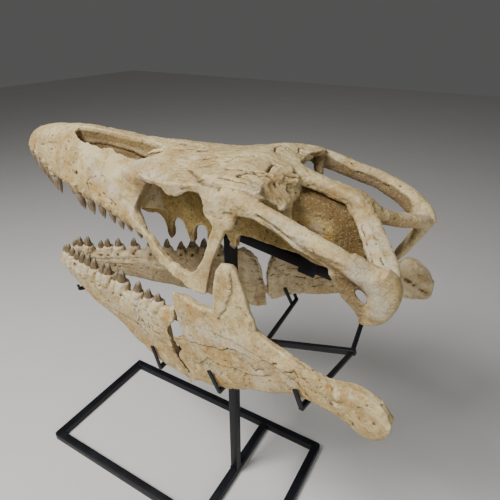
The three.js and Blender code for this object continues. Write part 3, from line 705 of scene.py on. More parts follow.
# Places worn smooth, and the head where three bones meet.
WORN_SPOTS = ((60, -150, 1042, 30, 1), (78, -152, 990, 30, 1), (80, -155, 968, 20, 1),
              (130, -146, 1046, 22, 1), (-150, -118, 1002, 24, 1), (-185, -108, 1012, 22, 1),
              (-134, -146, 925, 20, 1), (60, 150, 1042, 30, 1), (78, 152, 990, 30, 1),
              (130, 146, 1046, 22, 1), (-150, 118, 1002, 24, 1), (292, 0, 1004, 30, 1),
              (394, 150, 940, 22, 1), (332, -178, 955, 18, 1), (185, -44, 1040, 18, 1),
              (150, -70, 1050, 22, 1), (150, 146, 1046, 24, 1), (150, -100, 1046, 20, 1))
KNOB_SPOTS = ((398, -150, 935, 30, 1), (376, -168, 948, 30, 1), (384, -158, 905, 18, 0.4))
# Cracks as (path, width, depth): the first ones run over the roof.
SKULL_CRACKS = (
    (((97, -118), (107, -106), (118, -100), (132, -101), (143, -91), (160, -92)), 2.6, 6),
    (((104, -101), (118, -97), (134, -88)), 2.0, 4),
    (((136, -79), (131, -60), (129, -41), (146, -46)), 3.0, 7),
    (((107, 9), (94, 41), (95, 70)), 2.2, 4),
    (((160, -62), (178, -46), (196, -34)), 2.2, 3.5),
    (((136, 62), (120, 96), (137, 102)), 2.0, 3),
    (((-4, -101), (15, -89), (36, -75), (58, -60)), 1.7, 1.8),
    (((-30, -72), (14, -57), (60, -50)), 1.6, 1.5),
    (((-90, -30), (-20, -20), (60, -16)), 1.6, 1.4),
    (((20, -110), (60, -104), (96, -104)), 1.7, 2.0),
    (((60, -130), (90, -136), (126, -140)), 1.7, 2.0),
    (((318, -36, 990), (342, -68, 978), (360, -100, 965), (376, -122, 957), (388, -136, 954)),
     2.0, 3.0),
    (((306, -36, 990), (321, -64, 978), (346, -102, 962), (360, -120, 952)), 1.8, 2.4),
    (((330, -36, 988), (352, -66, 975), (372, -92, 964)), 1.6, 2.0),
    (((262, -186, 1008), (280, -190, 990), (284, -192, 975)), 1.6, 2.0),
    (((213, 160, 1028), (243, 165, 1016), (268, 170, 1000), (300, 176, 1000)), 2.0, 3.0),
    (((300, 178, 1001), (318, 178, 994), (340, 172, 985), (330, 166, 990)), 2.6, 4.0),
    (((236, 158, 1012), (270, 164, 996), (306, 168, 986)), 2.0, 3.0))
SNOUT_CRACKS = (
    (((-575, -46, 1022), (-570, -62, 985), (-574, -60, 965)), 1.6, 1.5),
    (((-331, -108, 969), (-318, -110, 980), (-292, -108, 990), (-262, -112, 994)), 1.8, 2.2),
    (((-330, -112, 966), (-318, -116, 940)), 1.8, 2.4),
    (((-420, -84, 1000), (-395, -93, 985), (-372, -101, 968)), 1.6, 1.8),
    (((-569, -42, 1012), (-530, -47, 1025), (-493, -54, 1028)), 1.6, 1.8),
    (((-544, -50, 1002), (-516, -56, 1008), (-492, -58, 1017)), 1.6, 1.6),
    (((-268, -124, 960), (-240, -130, 952), (-214, -135, 944)), 2.0, 2.6))


def sculpt_skull():
    clay = Clay(fuse("skull", skull_shapes(), SKULL_GRID))
    clay.relax(5)
    clay.melt(16, 0.8 * near_spots(clay.p, WORN_SPOTS))
    # The left arcade, ramus and quadrate flow into one smooth head.
    clay.melt(26, near_spots(clay.p, KNOB_SPOTS))
    x, y, z = clay.p.T

    # The rim over the eye is ragged, and the margin of the snout bulges over each tooth.
    rim = step(np.abs(y), 118, 140) * step(-z, -1052, -1030) * step(x, -150, -120)
    rim *= step(-x, -60, -20)
    clay.push(2.5 * rim * rough(clay.p, (14, 30, 30), 2, 31))
    for tooth_x, crown in UPPER_TEETH:
        foot = along(MARGIN_Z, tooth_x)
        band = np.exp(-((x - tooth_x) / (7 + 0.15 * crown)) ** 2 - ((z - foot - 16) / 20) ** 2)
        clay.push(2.0 * band * step(np.abs(y), 10, 30) * (x < ORBIT_X))
    # Long ripples like wood grain run back along the roof, the arcades and the snout.
    up = step(clay.n[:, 2], 0.4, 0.85)
    roof_top = up * step(x, -180, -120) * step(-x, -170, -120)
    clay.push(0.8 * roof_top * rough(clay.p, (120, 8, 30), 3, 41))
    clay.push(-1.3 * roof_top * step(lumps(clay.p, (80, 5, 30), 44), 0.4, 0.8))
    bars = step(np.abs(y), 130, 140) * step(x, 110, 160) * (1 - 0.8 * step(x, 335, 365))
    clay.push(0.9 * bars * rough(clay.p, (90, 9, 9), 3, 45))
    x, y, z = clay.p.T
    thin = step(-z, -1000, -960) * step(x, -160, -140) * step(-x, -110, -90)
    thin *= step(np.abs(y), 120, 138)
    thin = np.maximum(thin, 0.6 * step(x, 130, 170) * step(np.abs(y), 125, 140))
    thin = np.maximum(thin, step(x, 290, 340) * step(np.abs(y), 80, 130))
    clay.weather(1 - 0.8 * thin, grain=(1.25, 1, 0.9))

    # Suture in front of the brow, then the fossa behind it.
    for s in (-1, 1):
        clay.crack(mirror([(-118, -63, 1059), (-89, -80, 1055), (-61, -96, 1052), (-40, -104, 1052),
                           (-20, -112, 1051)], s), 2.0, 2.4, 1.5)
        clay.groove(mirror([(-20, -112, 1051), (5, -127, 1049), (24, -138, 1050)], s), 4.5, 4.5, 0.6)
        clay.groove(mirror([(28, -142, 1050), (52, -152, 1050), (74, -160, 1046)], s), 9.5, 8.0, 0.75)
        # Two facets of the arcade meet in a ridge, over a scooped face that runs to the quadrate.
        clay.groove(mirror([(262, -189, 1004), (299, -195, 991), (326, -192, 982), (348, -186, 970),
                            (362, -180, 950), (370, -174, 928), (371, -168, 902)], s), 6, -2.6)
        # The scooped face under the ridge is painted dark brown as shade.
        clay.groove(mirror([(262, -196, 978), (300, -193, 966), (330, -188, 950),
                            (348, -180, 930)], s), 11, 6.0, 0.8)
        clay.groove(mirror([(166, -171, 1012), (205, -178, 1000), (236, -186, 990),
                            (262, -194, 977)], s), 4.5, 4.0, 0.5)
        clay.groove(mirror([(176, -170, 1003), (204, -176, 990), (230, -182, 980)], s), 4, 2.5, 0.4)
        # Middle ridge of each ramus.
        clay.groove(mirror([(306, -22, 1000), (322, -48, 986), (344, -76, 975), (364, -104, 964),
                            (388, -134, 956)], s), 5, -3.0)
    # The crest's left flank is hollowed under its edge, with painted shade in the hollow.
    clay.groove([(196, -27, 1030), (222, -26, 1024), (250, -27, 1018), (276, -28, 1008)], 8, 3.5, 0.5)
    clay.groove([(200, -8, 1052), (236, 2, 1044), (262, 6, 1036)], 7, -2.0)
    # The left quadrate: a flange in front, a smooth knob on its pillar and a small crease.
    clay.groove([(310, -180, 946), (329, -174, 908), (344, -168, 892), (360, -160, 870)],
                5, -2.0, 0.3)
    clay.groove([(376, -164, 900), (388, -164, 892), (399, -152, 888)], 4, 3.0, 0.6)
    clay.groove([(350, -176, 940), (358, -170, 915)], 9, 3.0, 0.4)

    clay.cracks(SKULL_CRACKS)
    # The far nostril's broken edge shows along the crown of the snout, as a channel painted dark
    # brown as the shade inside that nostril.
    clay.groove([(-236, 6, 1067), (-201, 4, 1067), (-158, 0, 1066), (-108, -8, 1066)], 5.0, 6.5, 1.0)
    clay.groove([(-240, -4, 1066), (-190, -6, 1066), (-140, -14, 1065)], 3.0, -2.0)
    clay.cracks(SNOUT_CRACKS)
    clay.pits([(101, -122, 1056, 4.5), (-43, -31, 1065, 5.5), (-378, -97, 980, 4.0)], 6)
    clay.groove([(-54, -32, 1065), (-33, -30, 1065)], 4.5, 4.0, 1.0)
    clay.pits(mirror(FORAMINA, -1) + mirror(FORAMINA, 1))

    p = clay.p
    x, y, z = p.T
    mottle = 0.5 + 0.5 * rough(p, 20, 3, 51)
    fine = 0.5 + 0.5 * rough(p, 9, 2, 54)
    for s in (-1, 1):
        clay.dab("plaster", near_spots(p, mirror(SNOUT_PLASTER, s)) * step(mottle, 0.05, 0.4))
        clay.dab("ochre", near_spots(p, mirror(SNOUT_OCHRE, s)) * step(mottle, 0.2, 0.75))
    clay.dab("plaster", near_spots(p, ROOF_PLASTER) * step(fine, 0.1, 0.5))
    clay.dab("ochre", near_spots(p, ROOF_OCHRE) * step(mottle, 0.2, 0.7))
    tooth_band = step(along(MARGIN_Z, x) - z, -30, -2) * (x < ORBIT_X) * step(np.abs(y), 6, 14)
    clay.dab("umber_and_shade", tooth_band * (0.25 + 0.5 * step(fine, 0.3, 0.8)))
    # Inside the nostril the walls and floor are painted dark brown as shade, most at its front end
    # and low down; some rock lies in it.
    rim = along([(stop[0], stop[2]) for stop in NOSTRIL], x)
    crown_gap = along(ROOF_TOP, x) - z - 0.0035 * y ** 2
    in_nose = step(crown_gap, 6, 12) * step(rim + 2 - np.abs(y), 0, 4) * step(x, -447, -439)
    in_nose *= step(-x, 122, 134) * step(z, 998, 1001)
    clay.dab("umber_and_shade", in_nose * (0.65 + 0.35 * step(-x, 300, 380)) * (0.8 + 0.25 * mottle))
    clay.dab("umber_and_shade", 0.95 * in_nose * step(-z, -1040, -1022) * step(np.abs(y), 10, 16))
    clay.dab("matrix", 0.5 * in_nose)
    # Inside the eye socket the walls are painted brown as shade, darker towards the back; rock and
    # plaster lie in it too.
    wall = along(MARGIN_HALF, x) - np.abs(y)
    in_eye = step(wall, 8, 18) * step(x, -215, -200) * step(-x, 104, 118) * step(-z, -1022, -1010)
    clay.dab("umber_and_shade", in_eye * (0.35 + 0.5 * step(x, -168, -140)))
    clay.dab("matrix", 0.7 * in_eye * step(mottle, 0.35, 0.7))
    clay.dab("plaster", 0.6 * in_eye * near_spots(p, [(-178, -45, 945, 28, 1)]))
    under = step(-clay.n[:, 2], 0.1, 0.5) * step(x, -125, -100) * step(-x, -175, -150)
    clay.dab("matrix", 0.9 * under * step(-np.abs(y), -142, -130))
    # Painted shade: darker brown under the root of the crest, on the web and down the rib.
    clay.dab("umber_and_shade", 0.5 * near_spots(p, [(180, -28, 1026, 15, 1), (182, -44, 1008, 11, 1),
                                           (172, -52, 972, 24, 1)]))
    clay.dab("umber_and_shade", near_path(p, [(150, 142, 1034), (168, 101, 1010), (170, 60, 940)], 22))
    # Inner and lower faces of arcades and crest are painted brown as shade. On the right
    # arcade a ridge parts that painted shade from the pale top.
    inward = step(-y, 120, 135) * step(x, 130, 170) * step(clay.n[:, 1], 0.35, 0.8)
    clay.dab("umber_and_shade", 0.62 * inward * step(-clay.n[:, 2], -0.55, -0.2))
    under_ridge = np.interp(x, *zip(*ARCADE_RIDGE)) + 2 * clay.drift[:, 0] - z
    under_ridge = step(under_ridge, -2, 2) * step(y, 108, 122) * step(x, 110, 122)
    under_ridge *= step(-x, -372, -360)
    clay.dab("umber_and_shade", (0.8 + 0.2 * mottle) * under_ridge * step(-clay.n[:, 1], -0.2, 0.2))
    # Painted shade on the sideways faces of the crest.
    flank = step(np.abs(clay.n[:, 1]), 0.55, 0.85) * step(-np.abs(y), -40, -34) * step(x, 170, 200)
    clay.dab("umber_and_shade", 0.45 * flank)
    # Painted shade on every downward face from the back of the roof on, strongest at the rear ends.
    behind = step(-clay.n[:, 2], 0.0, 0.5) * step(x, 120, 160) * (0.3 + 0.7 * step(-x, -365, -340))
    clay.dab("umber_and_shade", 0.55 * behind)
    # Painted shade on the scooped face of the left arcade above the quadrate.
    scoop = step(-y, 120, 130) * step(x, 285, 300) * step(-x, -372, -358) * step(-z, -962, -940)
    clay.dab("umber_and_shade", 0.7 * scoop)
    clay.dab("plaster", near_path(p, [(350, -186, 968), (374, -178, 942), (392, -170, 914),
                                      (392, -166, 896)], 19))
    return clay.finish()


# ------------------------------------------------------------------ braincase and palate

# Side walls of the palate. The left one is worn into arches between the roots of its teeth,
# and the right one has lost its arches.
PALATE_ARCHES = ((-262, 930), (-262, 904), (-240, 898), (-220, 892), (-192, 894), (-173, 893),
                 (-161, 880), (-154, 862), (-148, 844), (-143, 838), (-139, 846), (-138, 866),
                 (-134, 884), (-126, 896), (-112, 899), (-101, 891), (-93, 870), (-86, 850),
                 (-80, 842), (-74, 852), (-72, 873), (-67, 888), (-52, 898), (-38, 896), (-34, 884),
                 (-36, 868), (-30, 852), (-22, 846), (-12, 858), (-4, 878), (6, 892), (15, 893),
                 (25, 876), (34, 862), (41, 863), (44, 888), (58, 897), (90, 898), (90, 930))
PALATE_RIGHT = ((-262, 930), (-262, 884), (-230, 874), (-150, 876), (-60, 872), (40, 878),
                (90, 898), (90, 930))


def sculpt_braincase():
    stops = ((-262, 904, 996, 40), (-205, 905, 1012, 45), (-120, 906, 1044, 46), (0, 906, 1050, 46),
             (60, 900, 1044, 46), (100, 890, 1038, 48), (150, 887, 1025, 51), (196, 884, 1012, 50),
             (240, 868, 1002, 46), (290, 866, 986, 42), (326, 880, 962, 34))
    read = [[(stop[0], stop[k]) for stop in stops] for k in (1, 2, 3)]
    outline = ((-1, 0.06), (-1, 0.3), (-0.97, 0.6), (-0.9, 0.85), (-0.6, 1), (0.6, 1), (0.9, 0.85),
               (0.97, 0.6), (1, 0.3), (1, 0.06), (0.7, 0), (-0.7, 0))
    rings = []
    for x in np.linspace(-262, 326, 90):
        low, top, half = (along(row, x) for row in read)
        rings.append([(x, half * f, low + (top - low) * g) for f, g in outline])
    shapes = [skin(rings)]
    shapes += [slab(PALATE_ARCHES, -44, -29), slab(PALATE_RIGHT, 29, 44)]
    clay = Clay(fuse("braincase", shapes, BRAINCASE_GRID))
    clay.relax(5)
    clay.melt(30, near_spots(clay.p, [(-225, -42, 906, 44, 1), (-180, -42, 906, 30, 0.8)]))
    clay.push(1.6 * rough(clay.p, (46, 40, 60), 3, 61))
    clay.weather(0.8, plate=44, seed=60)
    clay.push(0.55 * lumps(clay.p, 5.5, 64) + 0.3 * lumps(clay.p, 3.5, 65))
    for s in (-1, 1):
        clay.groove(mirror([(222, -46, 984), (250, -44, 986), (268, -42, 994)], s), 5, -3.5)
        clay.groove(mirror([(218, -48, 996), (236, -46, 1002), (262, -42, 1002)], s), 9, 4.0, 0.8)
        clay.groove(mirror([(288, -42, 975), (306, -40, 930)], s), 16, 4.0, 0.7)
        clay.groove(mirror([(232, -46, 980), (238, -46, 964), (262, -44, 960)], s), 3, 2.0, 0.6)
        clay.groove(mirror([(190, -50, 960), (204, -50, 948), (226, -48, 946), (250, -45, 944)], s),
                    2.5, 2.0, 0.6)
    x, _, z = clay.p.T
    mottle = 0.5 + 0.5 * rough(clay.p, 26, 3, 66)
    fine = 0.5 + 0.5 * rough(clay.p, 7, 2, 69)
    tips = step(-z, -892, -856) * step(-x, -60, -30)
    clay.dab("matrix", 0.8 * step(x, 90, 140) * (1 - step(mottle, 0.55, 0.8)))
    clay.dab("umber_and_shade", 0.75 * tips + 0.5 * step(-x, 130, 200))
    clay.dab("umber_and_shade", 0.35 * step(-mottle, -0.32, -0.2) + 0.3 * step(fine, 0.66, 0.9))
    # Painted shade: the top of the wall under the crest and the rear of the braincase are darker.
    clay.dab("umber_and_shade", 0.9 * step(z, 962, 992) * step(x, 160, 195) + 0.9 * step(x, 236, 276))
    clay.dab("umber_and_shade", 0.4 * step(x, 150, 220) * (0.5 + 0.5 * mottle))
    clay.dab("ochre", 0.7 * near_spots(clay.p, [(206, -50, 955, 30, 1), (206, 50, 955, 30, 1),
                                                (250, -46, 940, 24, 0.8)]) * step(mottle, 0.2, 0.6))
    clay.dab("plaster", 0.6 * near_spots(clay.p, [(30, -46, 920, 26, 1), (225, -46, 950, 20, 1)]))
    return clay.finish()


# ------------------------------------------------------------------ lower jaws

JAW_JOINTS = {
    "left": {
        "front": ((-44, 1000), (-44, 742), (-40, 726), (-50, 707), (-63, 684), (-62, 674), (-56, 655),
                  (-54, 636), (-46, 614), (0, 583), (4, 500)),
        "hind": ((-30, 1000), (-36, 800), (-37, 775), (-33, 749), (-31, 737), (-24, 714), (-14, 702),
                 (-14, 688), (-20, 676), (-47, 666), (-48, 657), (-34, 652), (-23, 642), (-33, 624),
                 (-32, 612), (3, 580), (6, 500)),
    },
    "right": {
        "front": ((-74, 1000), (-74, 740), (-54, 730), (-36, 712), (-21, 684), (-14, 655), (0, 606),
                  (3, 500)),
        "hind": ((75, 1000), (72, 800), (19, 731), (9, 700), (2, 664), (4, 634), (2, 598), (16, 584),
                 (20, 500)),
    },
}
PLATE_THICKNESS = ((0, 0.30), (0.06, 0.60), (0.3, 0.92), (0.55, 1), (0.75, 1), (0.9, 0.8),
                   (1, 0.45))


def plate_shape(side, xs, top_stops, low_stops, thick_at):
    """Upright plate of one half of the lower jaw."""
    g = np.linspace(0, 1, 22)
    spread = along(PLATE_THICKNESS, g)
    rings = []
    for x in xs:
        top, low = along(top_stops, x), along(low_stops, x)
        half, y = thick_at(x) / 2, side * along(JAW_HALF, x)
        z = low + (top - low) * g
        outer = np.stack([np.full_like(g, x), y + side * half * spread, z], axis=1)
        inner = np.stack([np.full_like(g, x), y - side * half * spread, z], axis=1)
        rings.append(np.concatenate([outer, inner[::-1]]))
    return skin(rings)


def lower_tooth(x, crown, side):
    """Foot, tip and radius of a lower tooth crown."""
    y, z = side * (along(JAW_HALF, x) + 1), along(DENTARY_TOP, x)
    return (x, y, z - 20), (x + 0.2 * crown, y - side * 2, z + crown), 1.38 * (4 + 0.13 * crown)


def feather(clay, s, near_joint, half):
    """Thins a jaw towards its outer face where it breaks off at the joint."""
    outer = s * (along(JAW_HALF, clay.p[:, 0]) + half)
    clay.p[:, 1] = outer - (outer - clay.p[:, 1]) * (1 - 0.85 * near_joint)
    clay.refresh()


def past(edge, far_x):
    """Region on the far side of a joint edge, to be cut away."""
    outline = list(edge) + [(far_x, 500), (far_x, 1000)]
    return slab(outline, -400, 400)


def edge_x(edge, z):
    """Place of a joint edge at each height."""
    heights = sorted((point[1], point[0]) for point in edge)
    return np.interp(z, [h for h, _ in heights], [x for _, x in heights])


DENTARY_PLASTER = ((-560, -48, 640, 34, 0.8), (-480, -74, 655, 36, 0.8), (-420, -92, 660, 30, 0.6),
                   (-330, -112, 690, 34, 0.9), (-240, -138, 700, 34, 0.9),
                   (-180, -152, 706, 30, 1.0), (-120, -164, 690, 36, 0.9),
                   (-300, -118, 630, 60, 0.6), (-160, -156, 655, 50, 0.7))
DENTARY_OCHRE = ((-590, -36, 615, 34, 0.7), (-520, -64, 606, 36, 0.7), (-150, -160, 590, 46, 0.9),
                 (-62, -174, 716, 18, 1.0), (-90, -168, 586, 36, 0.9), (-300, -120, 590, 40, 0.7),
                 (-400, -98, 600, 40, 0.6), (-210, -146, 590, 40, 0.8), (-260, -130, 690, 18, 0.9))
HIND_OCHRE = ((5, -181, 770, 26, 0.9), (23, -185, 754, 22, 0.9), (-8, -180, 788, 18, 0.5),
              (108, -202, 712, 26, 0.8), (140, -207, 719, 20, 0.7), (80, -197, 667, 34, 0.9),
              (109, -202, 676, 26, 0.9), (26, -186, 604, 40, 0.8), (89, -196, 626, 36, 0.9),
              (134, -204, 640, 26, 0.7), (343, -236, 762, 20, 0.9), (372, -240, 745, 40, 0.7),
              (430, -250, 712, 24, 0.9), (300, -232, 722, 22, 0.9), (60, -195, 700, 24, 0.6))
HIND_PLASTER = ((56, -195, 741, 26, 0.9), (85, -200, 740, 26, 0.9), (120, -206, 749, 26, 0.9),
                (151, -211, 753, 24, 0.9), (171, -214, 740, 24, 0.7), (8, -186, 705, 30, 0.9),
                (-20, -182, 740, 22, 0.8), (210, -222, 705, 40, 0.6), (355, -240, 770, 7, 1.0),
                (383, -246, 772, 8, 1.0), (265, -228, 730, 24, 0.6), (60, -195, 640, 26, 0.5))

DENTARY_CRACKS = {
    "left": (
        (((-340, -108, 690), (-365, -110, 662), (-378, -106, 643), (-372, -106, 600)), 2.0, 3.0),
        (((-270, -128, 700), (-270, -130, 684), (-299, -124, 670), (-310, -122, 650)), 2.2, 3.6),
        (((-276, -130, 672), (-241, -138, 692), (-234, -141, 686)), 2.0, 2.6),
        (((-163, -158, 702), (-169, -161, 676), (-175, -160, 647)), 1.8, 2.4),
        (((-119, -172, 668), (-117, -173, 652), (-81, -180, 651)), 1.8, 2.2)),
    "right": (
        (((-230, 112, 690), (-150, 136, 686), (-80, 152, 690)), 2.2, 3.4),
        (((-180, 128, 640), (-110, 142, 652), (-40, 158, 640)), 2.2, 3.4),
        (((-120, 142, 610), (-60, 156, 618), (-24, 162, 600)), 2.2, 3.4),
        (((-60, 152, 700), (-40, 158, 664), (-48, 160, 630), (-30, 162, 600)), 2.2, 3.4),
        (((-90, 150, 670), (-50, 158, 668), (-16, 165, 676)), 2.2, 3.4)),
}
HIND_JAW_CRACKS = (
    (((171, -216, 722), (191, -219, 713), (215, -223, 732), (236, -225, 760)), 2.0, 2.6),
    (((252, -229, 746), (275, -230, 762), (287, -234, 752), (304, -232, 765)), 2.2, 3.2),
    (((289, -232, 761), (303, -236, 752), (316, -238, 747), (333, -241, 729)), 2.4, 4.0),
    (((279, -233, 743), (296, -234, 728), (308, -233, 713)), 2.2, 3.4),
    (((240, -226, 720), (262, -230, 704), (290, -234, 708)), 1.8, 2.4))


def sculpt_dentary(word, s):
    def thick(x):
        return min(32, 13 + 0.07 * (x + 650))

    joint = JAW_JOINTS[word]["front"]
    xs = np.concatenate([[-616, -614, -611, -606], np.linspace(-600, 12, 110)])
    # The bone sinks between the sockets, so that each tooth stands on its own pedestal.
    top_row = [(x, z - 9 * step(x, -610, -580) * (1 - step(x, -90, -70))) for x, z in DENTARY_TOP]
    low_row = DENTARY_LOW if s < 0 else DENTARY_LOW[:-2] + ((-100, 555), (0, 549))
    shapes = [carve(plate_shape(s, xs, top_row, low_row, thick), past(joint, 200))]
    shapes += [collar(*lower_tooth(x, crown, s), 0.5, 5.0) for x, crown in LOWER_TEETH[word]]
    # Ledge of bone inside the tooth row.
    ledge = [(x, s * (along(JAW_HALF, x) - 8), along(DENTARY_TOP, x) - 20, 6 + 0.006 * (x + 600), 10)
             for x in np.linspace(-590, -90, 12)]
    shapes.append(limb(ledge, cuts=80))
    clay = Clay(fuse(f"dentary_bone_{word}", shapes, DENTARY_GRID))
    clay.relax(4)
    x, _, z = clay.p.T
    low, top = along(DENTARY_LOW, x), along(DENTARY_TOP, x)
    depth = (top - z) / (top - low)
    inner = step(-s * clay.n[:, 1], 0.2, 0.7)
    outer = step(s * clay.n[:, 1], 0.2, 0.7)
    # The inner face is scooped out below the ledge, the outer face swells below the teeth.
    clay.push(-3.2 * inner * np.exp(-((depth - 0.62) / 0.16) ** 2) * step(-x, 70, 120))
    clay.push(2.0 * outer * np.exp(-((depth - 0.3) / 0.2) ** 2))
    for tooth_x, crown in LOWER_TEETH[word]:
        foot = along(DENTARY_TOP, tooth_x)
        band = np.exp(-((clay.p[:, 0] - tooth_x) / (6 + 0.15 * crown)) ** 2
                      - ((clay.p[:, 2] - foot + 14) / 22) ** 2)
        clay.push(2.2 * band * outer + 1.4 * band * inner)
    alveoli = np.exp(-((depth - 0.12) / 0.2) ** 2)
    clay.push(1.8 * alveoli * rough(clay.p, 13, 2, 90))
    clay.weather(1.1, plate=26, grain=(1, 1, 1.2), seed=90)
    lines = rough(clay.p, (110, 30, 8), 3, 91)
    clay.push(0.9 * lines * inner)
    # Thin splintered edge at the joint.
    at_joint = step(clay.p[:, 0] - edge_x(joint, clay.p[:, 2]), -26, -3)
    feather(clay, s, at_joint * step(-clay.p[:, 2], -725, -700), thick(-60) / 2)
    clay.push(1.8 * at_joint * rough(clay.p, (20, 20, 9), 3, 94))
    rng = np.random.default_rng(3 if s < 0 else 4)
    holes = [(tx + 10, s * (along(JAW_HALF, tx) - 14),
              along(DENTARY_TOP, tx) - 14 + rng.uniform(-2, 2), 4.6) for tx, _ in LOWER_TEETH[word]]
    clay.pits(holes, 5)
    holes = [(hx, s * (along(JAW_HALF, hx) + 13), along(DENTARY_TOP, hx) - rng.uniform(26, 40),
              rng.uniform(2.2, 3.2)) for hx in rng.uniform(-600, -120, 14)]
    clay.pits(holes)
    if s < 0:
        clay.pits([(-386, -96, 687, 4.0), (-388, -103, 623, 4.0), (-125, -175, 608, 4.5),
                   (-512, -66, 668, 5.5), (-250, -134, 690, 5.0)], 5.5)
        clay.cracks(DENTARY_CRACKS[word])
        clay.groove([(-330, -114, 604), (-292, -126, 613), (-223, -146, 628), (-178, -158, 640),
                     (-140, -166, 626)], 4.5, 2.4, 0.3)
        clay.groove([(-560, -44, 600), (-517, -60, 588), (-450, -84, 592), (-380, -104, 600)],
                    4, 1.6, 0.2)
    else:
        clay.cracks(DENTARY_CRACKS[word])
        clay.groove([(-478, 46, 628), (-419, 62, 638), (-360, 76, 646), (-250, 102, 660)], 5, -1.6)
    x, _, z = clay.p.T
    mottle = 0.5 + 0.5 * rough(clay.p, 24, 3, 93)
    fine = 0.5 + 0.5 * rough(clay.p, 9, 2, 96)
    clay.dab("plaster", near_spots(clay.p, mirror(DENTARY_PLASTER, s)) * outer
             * step(mottle, 0.15, 0.45))
    crest = step(z - along(DENTARY_TOP, x), -10, 6)
    clay.dab("plaster", 0.8 * crest * step(fine, 0.2, 0.5) if s < 0
             else 0.5 * crest * step(fine, 0.4, 0.7))
    clay.dab("ochre", near_spots(clay.p, mirror(DENTARY_OCHRE, s)) * step(mottle, 0.2, 0.7))
    clay.dab("ochre", 0.35 * inner * step(mottle, 0.4, 0.7))
    # Painted shade on the inner face below the ledge.
    clay.dab("umber_and_shade", inner * 0.55 * step(depth, 0.50, 0.62) * step(-x, 40, 110))
    clay.dab("umber_and_shade", 0.2 * inner * step(mottle, 0.55, 0.8))
    # Painted shade on the lower end of the joint's edge.
    clay.dab("umber_and_shade", 0.2 * at_joint * step(-z, -690, -660) * step(x - edge_x(joint, z), -12, -2))
    # A dark brown band down the rear lower edge by the joint.
    rear_low_edge = mirror([(-44, -174, 636), (-28, -176, 604), (-8, -178, 578)], s)
    clay.dab("umber_and_shade", 0.5 * near_path(clay.p, rear_low_edge, 13))
    return clay.finish()


def hind_x(x, s):
    """The right hind jaw has lost its last few millimetres."""
    return 300 + 0.9 * (x - 300) if s > 0 and x > 300 else x


# The coronoid as (z, middle x, half length, half thickness), and the edge of its front leaf.
CORONOID = ((770, 135, 50, 8), (796, 134, 52, 9), (820, 130, 47, 10), (845, 127, 39, 10),
            (872, 125, 31, 9), (888, 124, 25, 8), (900, 124, 20, 7), (910, 123, 13, 6),
            (916, 122, 7, 5))
LEAF_EDGE = ((88, 760), (94, 790), (110, 812), (126, 846), (133, 872), (133, 890), (128, 908))


